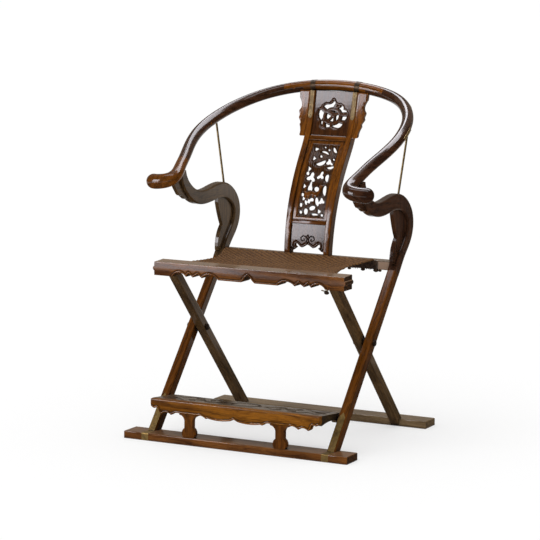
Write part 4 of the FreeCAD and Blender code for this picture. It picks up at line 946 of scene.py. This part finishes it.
def beast(x, z):
    """A small four-legged beast that walks through the carving, as a distance into it."""
    def at(across, up):
        return (across * CARVING_HALF, CARVING_FOOT + up * CARVING_TALL)

    strokes = [
        ([at(-0.66, 0.30), at(-0.2, 0.325), at(0.2, 0.31)], [5, 6, 5.5]),
        ([at(0.18, 0.31), at(0.42, 0.36), at(0.5, 0.42)], [5, 4, 3]),
        ([at(0.4, 0.43), at(0.64, 0.435)], [3.6, 2]),
        ([at(-0.62, 0.31), at(-0.8, 0.35), at(-0.72, 0.43)], [2.5, 1.8, 1.2]),
        ([at(-0.62, 0.29), at(-0.7, 0.2)], [3, 2]),
        ([at(-0.4, 0.29), at(-0.46, 0.18)], [3, 2]),
        ([at(0.0, 0.29), at(-0.22, 0.18)], [2.8, 2]),
        ([at(0.2, 0.29), at(0.12, 0.18)], [3, 2]),
    ]
    return np.max([inside_stroke(x, z, points, widths) for points, widths in strokes], axis=0)


def hollow_behind(inward):
    """How far the back of openwork is hollowed, less on the middle of a stem."""
    return BACK_HOLLOW - BACK_RISE * dome(inward, 3)


def make_carved_panel(material):
    """Openwork of leaves and rocks round a walking beast, inside a plain moulded margin."""
    low = CARVING_FOOT - CARVING_MARGIN
    high = CARVING_FOOT + CARVING_TALL + CARVING_MARGIN
    half = CARVING_HALF + CARVING_MARGIN

    def window(x, z):
        return np.minimum(half - np.abs(x), np.minimum(z - low, high - z))

    def gaps(x, z):
        return outside_gaps(x, z, CARVING_GAPS, (0, CARVING_FOOT), CARVING_HALF, CARVING_TALL, GAP_SPREAD)

    def field(x, z):
        return np.minimum(board_edge("carved_panel", x, z), gaps(x, z))

    def depth(x, z, wood):
        inside = window(x, z)
        moulding = MOULDING_DEPTH * dome(inside + MOULDING_WIDTH, 2) * (inside > -MOULDING_WIDTH)
        body = dome(beast(x, z), 3.5)
        leaf = CARVING_GROUND - LEAF_RISE * dome(wood, 3.6) - BEAST_RISE * body
        ripple = np.abs(np.sin(0.55 * x + 0.35 * z + 2 * np.sin(z / 9)))
        veins = VEIN_DEPTH * ripple * dome(wood - 0.8, 2) * (body == 0)
        return np.where(inside > 0, leaf + veins, moulding)

    def hollow(x, z, wood):
        return np.where(window(x, z) > 0, hollow_behind(wood), 0)

    return cut_board("carved_panel_openwork", "carved_panel", field, depth, hollow, PANEL_STEP,
                     CARVED_PANEL_EDGE, material)


def lobed_opening():
    """The medallion's outline: an ogee point above, and three round lobes down each side."""
    crown = [(0, 1.04), (0.07, 0.88), (0.16, 0.77), (0.3, 0.7)]
    upper = [(0.3, 0.7), (0.52, 0.68), (0.68, 0.54), (0.7, 0.36)]
    side = [(0.7, 0.36), (0.9, 0.28), (1.0, 0.0), (0.95, -0.28), (0.79, -0.53)]
    lower = [(0.79, -0.53), (0.73, -0.8), (0.5, -1.0), (0.2, -0.98), (0, -0.88)]
    right = []
    for run in (crown, upper, side, lower):
        right += flowing(run)[:-1]
    points = [medallion_place(p) for p in right]
    return points + [medallion_place(lower[-1])] + flip(points[:0:-1])


def medallion_place(share):
    return (share[0] * MEDALLION_WIDE, MEDALLION_MIDDLE + share[1] * MEDALLION_TALL)


def make_medallion(material):
    """A lobed opening with a beaded rim, filled with a ring of curling stems."""
    rim = lobed_opening()
    stems = [(flowing([medallion_place(p) for p in line]), [STEM_WEIGHT * w for w in widths])
             for line, widths in MEDALLION_STEMS]

    def stem(x, z):
        return np.max([inside_stroke(x, z, line, widths) for line, widths in stems], axis=0)

    def field(x, z):
        outside = -inside_outline(x, z, rim)
        return np.minimum(board_edge("medallion_panel", x, z), np.maximum(outside, stem(x, z)))

    def depth(x, z, wood):
        outside = -inside_outline(x, z, rim)
        bead = 0.2 + 1.8 * beside_bead(outside, RIM_WIDTH, 2.2)
        plain = np.clip(RIM_DEPTH - 1.4 * (outside - RIM_WIDTH), 0, RIM_DEPTH)
        leaf = CARVING_GROUND - STEM_RISE * dome(stem(x, z), 3.2)
        return np.where(outside > RIM_WIDTH, plain, np.where(outside > 0, bead, leaf))

    def hollow(x, z, wood):
        outside = -inside_outline(x, z, rim)
        return np.where(outside > 0, 0, hollow_behind(stem(x, z)))

    return cut_board("medallion_tracery", "medallion_panel", field, depth, hollow, PANEL_STEP,
                     PANEL_EDGE, material)


def make_apron_panel(material):
    """A cusped arch with a beaded edge that curls at its feet, and two cloud scrolls over its crown."""
    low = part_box("apron_panel")[0].z / MM
    foot = [(57, 9), (50, 8), (43, 9.5), (37.5, 13.5), (32.5, 18.2), (36, 20.4), (37.8, 23.5)]
    peak = [(37.8, 23.5), (36.8, 27.4), (33.6, 28), (28.5, 24.6), (23, 19.5)]
    drop = [(23, 19.5), (17, 17.6), (12, 20), (5, 24.2), (0, 26.4)]
    right = flowing(foot)[:-1] + flowing(peak)[:-1] + flowing(drop)
    arch = [(x, low + z) for x, z in right]
    edge = arch + flip(arch[-2::-1])
    opening = edge + [(-57, low - 5), (57, low - 5)]
    scrolls = []
    for points, widths in (
        (spiral((13.5, low + 41), 11.5, 2.6, 225, -200, 24), [1.1, 1.4, 1.3, 1.0]),
        (flowing([(0.6, low + 29.5), (1.8, low + 31.5), (3.6, low + 33)]), [0.8, 1.2, 1.0]),
        (flowing([(0, low + 38), (0, low + 45)]), [0.4, 1.2, 0.4]),
        (flowing([(3.4, low + 48), (1.8, low + 51), (0, low + 54)]), [1.1, 1.0, 0.6]),
        (spiral((46, low + 14.5), 4.6, 1.4, 200, -120), [1.2, 1.1, 0.8]),
    ):
        scrolls += [(points, widths), (flip(points), widths)]

    def field(x, z):
        return np.minimum(board_edge("apron_panel", x, z), -inside_outline(x, z, opening))

    def depth(x, z, wood):
        away = line_distance(x, z, edge)
        bead = 0.2 + 2.4 * beside_bead(away, APRON_BEAD, 2.0)
        curl = np.max([inside_stroke(x, z, points, widths) for points, widths in scrolls], axis=0)
        ground = np.clip(APRON_GROUND - 0.5 * (away - BEAD), 0.3, APRON_GROUND)
        plain = np.where(away < APRON_BEAD, bead, ground)
        return np.maximum(plain, SCROLL_DEPTH * dome(curl + 0.3, 1.2))

    return cut_board("apron_panel_carved", "apron_panel", field, depth, flat_back, APRON_STEP,
                     PANEL_EDGE, material)


# Boards with a bead along their lower edge

GROOVE = 2.0
GROOVE_BEAD = BEAD + 1
BOARD_STEP = 1.0
TOP_ROOM = 0.25


def front_outline(node, facing):
    """A node's outline seen from the front, in millimetres, from its faces that look forward enough."""
    mesh = NODES[node].data
    corners = [tuple(round(v.co[axis] / MM, 2) for axis in (0, 2, 1)) for v in mesh.vertices]
    edges = set()
    for face in mesh.polygons:
        if face.normal.y < -facing:
            ring = [corners[i] for i in face.vertices]
            edges.update(zip(ring, ring[1:] + ring[:1]))
    after = {p: q for p, q in edges if (q, p) not in edges}
    loops = []
    while after:
        start, here = after.popitem()
        loop = [start]
        while here != start and here in after:
            loop.append(here)
            here = after.pop(here)
        loops.append([(x, z) for x, z, _ in loop])
    return max(loops, key=len)


def make_beaded_board(name, node, material, facing, round_top, end_room, crown):
    """A plank cut to the node's front outline, a little crowned, with a groove and a bead along its
    wavy lower edge."""
    points = front_outline(node, facing)
    top = max(z for _, z in points)
    half = (top - min(z for _, z in points)) / 2
    wide = max(x for x, _ in points)
    lower = [(a, b) for a, b in zip(points, points[1:] + points[:1])
             if max(a[1], b[1]) < top - TOP_ROOM and max(abs(a[0]), abs(b[0])) < wide - end_room]

    def field(x, z):
        return inside_outline(x, z, points)

    def depth(x, z, wood):
        away = np.min([run_distance(x, z, a, b)[0] for a, b in lower], axis=0)
        bead = GROOVE * beside_bead(away, GROOVE_BEAD, 2.0)
        fall = np.clip(GROOVE - 0.7 * (away - GROOVE_BEAD), 0, GROOVE)
        return np.where(away < GROOVE_BEAD, bead, fall)

    def rounded(z):
        return round_top * (1 - dome(top - z, round_top)) + crown * ((top - z) / half - 1) ** 2

    return cut_board(name, node, field, depth, flat_back, BOARD_STEP, 0.0, material, rounded)


# Woven seat, in millimetres, with each side edge as shares of its length and places across

SEAT_COLUMNS = 240
SEAT_ROWS = 160
SEAT_WIDE = 430.0
SEAT_FRONT_Y = -188.9
SEAT_REAR_Y = 110.6
SEAT_FRONT_Z = 474.0
SEAT_REAR_Z = 477.0
SEAT_THICK = 3.4
SEAT_SAG = 11.0
SEAT_EDGE_SAG = 2.0
SEAT_LEFT = ((0, -226), (0.14, -210), (0.28, -201), (0.43, -196), (0.64, -211), (0.84, -235), (1, -252))
SEAT_RIGHT = ((0, 229), (0.17, 216), (0.3, 205), (0.45, 196), (0.6, 193), (0.8, 201), (1, 208))
ROLL_RISE = 1.4
ROLL_REACH = 4.0
ROLL_EDGE = 1.5
PLAIT_PITCH = 13.0
PLAIT_RISE = 2.0
PLAIT_TURN = 41.0
PLAIT_FLOAT = 1.7


def seat_place(across, along):
    """A place on the seat's top in millimetres, across from left to right and along from front to rear."""
    left = np.interp(along, *zip(*flowing(SEAT_LEFT)))
    right = np.interp(along, *zip(*flowing(SEAT_RIGHT)))
    x = left + (right - left) * across
    y = SEAT_FRONT_Y + (SEAT_REAR_Y - SEAT_FRONT_Y) * along
    middle = 1 - (2 * across - 1) ** 4
    hang = 4 * along * (1 - along) * (SEAT_EDGE_SAG + (SEAT_SAG - SEAT_EDGE_SAG) * middle)
    return x, y, SEAT_FRONT_Z + (SEAT_REAR_Z - SEAT_FRONT_Z) * along - hang


def plait(x, y):
    """Height of the cords, from 0 in the gaps to 1: slanting rows of long floats, each row shifted by half
    a float."""
    c = math.cos(math.radians(PLAIT_TURN))
    s = math.sin(math.radians(PLAIT_TURN))
    row = (x * s + y * c) / PLAIT_PITCH
    along = (x * c - y * s) / (PLAIT_PITCH * PLAIT_FLOAT) + 0.5 * np.floor(row)
    return np.abs(np.sin(np.pi * row)) ** 0.6 * (0.55 + 0.45 * np.abs(np.sin(np.pi * along)) ** 0.5)


def seat_mesh():
    """The mat with its top and underside joined round the rim, its flat map and the height of its cords."""
    across, along = np.meshgrid(np.linspace(0, 1, SEAT_COLUMNS + 1), np.linspace(0, 1, SEAT_ROWS + 1),
                                indexing="ij")
    x, y, z = seat_place(across, along)
    heights = plait(x, y)
    cords = PLAIT_RISE * (heights - 1)
    edge = np.minimum(across, 1 - across) * SEAT_WIDE
    roll = ROLL_RISE * np.exp(-((edge - ROLL_REACH) / ROLL_REACH) ** 2)
    roll = roll - SEAT_THICK * 0.5 * np.exp(-(edge / ROLL_EDGE) ** 2)
    top = np.stack([x, y, z + cords + roll], axis=-1)
    under = np.stack([x, y, z - SEAT_THICK - 0.3 * roll], axis=-1)
    total = x.size
    index = np.arange(total).reshape(x.shape)
    a, b, c, d = index[:-1, :-1], index[1:, :-1], index[1:, 1:], index[:-1, 1:]
    faces = np.stack([a, b, c, d], axis=-1).reshape(-1, 4).tolist()
    faces += (np.stack([d, c, b, a], axis=-1) + total).reshape(-1, 4).tolist()
    rim = np.concatenate([index[:, 0], index[-1, 1:], index[-2::-1, -1], index[0, -2:0:-1]])
    faces += [(q, p, p + total, q + total) for p, q in zip(rim.tolist(), np.roll(rim, -1).tolist())]
    mesh = bpy.data.meshes.new("woven_seat")
    mesh.from_pydata(np.concatenate([top.reshape(-1, 3), under.reshape(-1, 3)]) * MM, [], faces)
    flat = np.stack([x, y], axis=-1).reshape(-1, 2) * MM
    corners = np.empty(len(mesh.loops), np.int32)
    mesh.loops.foreach_get("vertex_index", corners)
    layer = mesh.uv_layers.new(name="weave")
    layer.data.foreach_set("uv", flat[corners % total].astype(np.float32).ravel())
    height = mesh.attributes.new("cord_height", "FLOAT", "POINT")
    height.data.foreach_set("value", np.tile(heights.ravel(), 2).astype(np.float32))
    return mesh


def make_seat(ends):
    """A mat of plaited cord with rolled sides, hung between the two seat rails; the loose ends that it is
    given are not used.
    """
    seat = finished_piece("woven_seat", seat_mesh(), FINISHES["cord"], "seat_webbing",
                          slot="woven_cord", sharp=70)
    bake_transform(seat)


# Small fittings and cord ends, grown by Geometry Nodes, with sizes in millimetres

SEED = 7
UP = (0, 0, 1)
CLEAR = 100.0
NAIL_SIZE = (2.0, 2.0, 1.1)
NAIL_SPREAD = 0.05
NAIL_LEVELS = {"splat_straps": (0.12, 0.5, 0.86), "leg_straps": (0.2, 0.55, 0.88)}
LINE_RADIUS = 0.8
LASHING_LEFT = -250.0
LASHING_LONG = 470.0
LASHING_HEIGHT = 461.0
LASHING_PROUD = 0.6
LASHING_PITCH = 5.4
LASHING_WAVE = 0.9
LASHING_SIZE = (3.0, 1.7, 13.5)
LASHING_SPREAD = 0.06
KNOT_SIZE = (7.5, 5.0, 5.0)
KNOT_SPREAD = 0.3
KNOT_BEHIND = 3.0
KNOT_BELOW = 2.5
KNOTS_UNDER_REAR_RAIL = (-215, -140, -60, 104, 112, 134, 175, 214, 226)
CORD_END_RADIUS = 1.8


def new_geometry(name, takes):
    tree = bpy.data.node_groups.new(name, "GeometryNodeTree")
    tree.interface.new_socket("Geometry", in_out="INPUT", socket_type="NodeSocketGeometry")
    for label, kind in takes + [("Material", "Material")]:
        tree.interface.new_socket(label, in_out="INPUT", socket_type="NodeSocket" + kind)
    tree.interface.new_socket("Geometry", in_out="OUTPUT", socket_type="NodeSocketGeometry")
    return tree, tree.nodes.new("NodeGroupInput").outputs


def end_geometry(tree, start, grown):
    solid = put(tree, "GeometryNodeRealizeInstances", {"Geometry": grown}).outputs[0]
    painted = put(tree, "GeometryNodeSetMaterial", {"Geometry": solid, "Material": start["Material"]})
    put(tree, "NodeGroupOutput", {"Geometry": painted.outputs[0]})
    return tree


def dots_tree():
    """One rounded body on every point, standing along the point's facing."""
    tree, start = new_geometry(
        "dots", [("Size", "Vector"), ("Least Scale", "Float"), ("Most Scale", "Float"), ("Seed", "Int")])
    ball = put(tree, "GeometryNodeMeshIcoSphere", {"Radius": 1.0, "Subdivisions": 2}).outputs["Mesh"]
    body = put(tree, "GeometryNodeTransform", {"Geometry": ball, "Scale": start["Size"]}).outputs[0]
    facing = put(tree, "GeometryNodeInputNamedAttribute", {"Name": "facing"}, data_type="FLOAT_VECTOR")
    turn = put(tree, "FunctionNodeAlignRotationToVector", {"Vector": facing.outputs[0]}, axis="Z")
    grown = put(tree, "FunctionNodeRandomValue", {
        "Min": start["Least Scale"], "Max": start["Most Scale"], "Seed": start["Seed"],
    }, data_type="FLOAT")
    scale = next(s for s in grown.outputs if s.enabled)
    placed = put(tree, "GeometryNodeInstanceOnPoints", {
        "Points": start["Geometry"], "Instance": body, "Rotation": turn.outputs[0], "Scale": scale,
    }).outputs[0]
    return end_geometry(tree, start, placed)


def lines_tree():
    """A round strand along every line."""
    tree, start = new_geometry("strands", [("Radius", "Float")])
    line = put(tree, "GeometryNodeMeshToCurve", {"Mesh": start["Geometry"]}).outputs[0]
    ring = put(tree, "GeometryNodeCurvePrimitiveCircle", {"Resolution": 6, "Radius": start["Radius"]})
    strand = put(tree, "GeometryNodeCurveToMesh", {
        "Curve": line, "Profile Curve": ring.outputs[0], "Fill Caps": True,
    }).outputs[0]
    return end_geometry(tree, start, strand)


DOTS = dots_tree()
LINES = lines_tree()


def grown_piece(name, tree, settings, points, edges, facing, slot, body):
    """Runs a tree on a few points in metres, keeps what it grows as a plain mesh, and lets it ride on a
    body."""
    start = bpy.data.meshes.new(name)
    start.from_pydata(points, edges, [])
    way = start.attributes.new("facing", "FLOAT_VECTOR", "POINT")
    way.data.foreach_set("vector", np.array(facing or [UP] * len(points), np.float32).ravel())
    grower = link(bpy.data.objects.new(name + "_start", start))
    modifier = grower.modifiers.new("grow", "NODES")
    modifier.node_group = tree
    for socket in tree.interface.items_tree:
        if socket.name in settings:
            modifier[socket.identifier] = settings[socket.name]
    mesh = bpy.data.meshes.new_from_object(grower.evaluated_get(bpy.context.evaluated_depsgraph_get()))
    grower.modifiers.remove(modifier)
    bpy.data.objects.remove(grower)
    piece = finished_piece(name, mesh, settings["Material"], slot=slot, sharp=70)
    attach(piece, body)
    return piece


def grow_dots(name, size, spread, finish, points, slot, body, facing=None):
    settings = {
        "Size": [s * MM for s in size], "Least Scale": 1 - spread, "Most Scale": 1 + spread, "Seed": SEED,
        "Material": FINISHES[finish],
    }
    return grown_piece(name, DOTS, settings, points, [], facing, slot, body)


def grow_lines(name, radius, finish, lines, slot, body):
    points = [p for line in lines for p in line]
    edges = []
    first = 0
    for line in lines:
        edges += [(first + i, first + i + 1) for i in range(len(line) - 1)]
        first += len(line)
    settings = {"Radius": radius * MM, "Material": FINISHES[finish]}
    return grown_piece(name, LINES, settings, points, edges, None, slot, body)


def touch(surface, start, way):
    """Where a line from a place first meets a piece, and which way the piece faces there."""
    return surface.ray_cast(Vector(start), Vector(way))[:2]


def make_nails():
    """Domed nails down the straps of the splat and of the legs."""
    points = []
    facing = []
    for node, levels in NAIL_LEVELS.items():
        low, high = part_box(node)
        surface = surface_of(node)
        outer = max(v.co.x for v in NODES[node].data.vertices)
        inner = min(abs(v.co.x) for v in NODES[node].data.vertices)
        for level in levels:
            for side in (-1, 1):
                height = low.z + level * (high.z - low.z)
                start = (side * (outer + inner) / 2, low.y - CLEAR * MM, height)
                place, way = touch(surface, start, (0, 1, 0))
                if place:
                    points.append(place)
                    facing.append(way)
    grow_dots("strap_nails", NAIL_SIZE, NAIL_SPREAD, "dark_brass", points, "aged_brass", "back_frame",
              facing)


def make_footrest_lines():
    """Scrolling lines set in the top of the footrest: a lobed middle, curls beside it and brackets at the
    corners."""
    low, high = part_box("footrest_board")
    surface = surface_of("footrest_board")
    middle = (low.y + high.y) / 2 / MM
    above = high.z + CLEAR * MM
    drawn = [
        [(0, 34), (9, 27), (24, 29), (36, 19), (31, 8), (48, 0)],
        [(56, 0), (72, 8), (84, 24), (100, 30), (114, 20), (108, 8), (96, 10)],
        [(120, 0), (134, 12), (150, 9), (160, 22), (150, 34), (138, 28)],
        [(158, 42), (178, 36), (186, 20), (202, 16), (212, 30), (234, 34)],
        [(206, 0), (216, 7), (232, 6), (238, 0)],
    ]
    lines = []
    for line in drawn:
        for across in (-1, 1):
            for up in (-1, 1):
                flat = [(across * x * MM, (middle + up * y) * MM, above) for x, y in flowing(line)]
                lines.append([touch(surface, p, (0, 0, -1))[0] for p in flat])
    grow_lines("footrest_scrolls", LINE_RADIUS, "iron", lines, "dark_iron", "footrest")


def make_cord_ends():
    """The mat's turns round the rear rail, the knots under it, and a knotted end under the front rail."""
    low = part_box("rear_seat_rail")[0]
    turns = []
    for i in range(round(LASHING_LONG / LASHING_PITCH)):
        across = LASHING_LEFT + LASHING_PITCH * i
        height = LASHING_HEIGHT + math.sin(LASHING_WAVE * i)
        turns.append((across * MM, low.y - LASHING_PROUD * MM, height * MM))
    under = [(x * MM, low.y + KNOT_BEHIND * MM, low.z - KNOT_BELOW * MM) for x in KNOTS_UNDER_REAR_RAIL]
    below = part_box("front_seat_rail")[0].z / MM
    hanging = [(222, -205, below + 2), (221, -206, below - 6), (218, -207, below - 13)]
    loose = [hanging[1], (212, -207, below - 9), (203, -207, below - 7.5)]
    lines = [[tuple(c * MM for c in place) for place in line] for line in (hanging, loose)]
    knot = [lines[0][-1]]
    # Painted shade: the turns, the knots under the rear rail and the front knot use cord kept dark for the
    # shade they lie in, and for dirt.
    return [
        grow_dots("rear_lashing", LASHING_SIZE, LASHING_SPREAD, "shaded_old_cord", turns, "woven_cord",
                  "back_frame"),
        grow_dots("rear_knots", KNOT_SIZE, KNOT_SPREAD, "shaded_old_cord", under, "woven_cord", "back_frame"),
        grow_lines("front_cord_end", CORD_END_RADIUS, "pale_cord", lines, "woven_cord", "seat_frame"),
        grow_dots("front_knot", KNOT_SIZE, 0.0, "shaded_old_cord", knot, "woven_cord", "seat_frame"),
    ]


make_camera()
make_studio()
FINISHES = make_finishes()
dress_nodes()
soften_edges()
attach(make_carved_panel(FINISHES["carved_panel"]), "back_frame")
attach(make_medallion(FINISHES["panel"]), "back_frame")
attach(make_apron_panel(FINISHES["panel"]), "back_frame")
SEAT_BOARD = make_beaded_board("front_seat_rail_moulded", "front_seat_rail", FINISHES["front_seat_rail"],
                               facing=0.05, round_top=2.5, end_room=8.0, crown=1.2)
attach(SEAT_BOARD, "seat_frame")
FOOT_BOARD = make_beaded_board("footrest_apron_moulded", "footrest_apron", FINISHES["footrest_apron"],
                               facing=0.9, round_top=2.5, end_room=2.0, crown=0.8)
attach(FOOT_BOARD, "footrest")
make_nails()
make_footrest_lines()
make_seat(make_cord_ends())
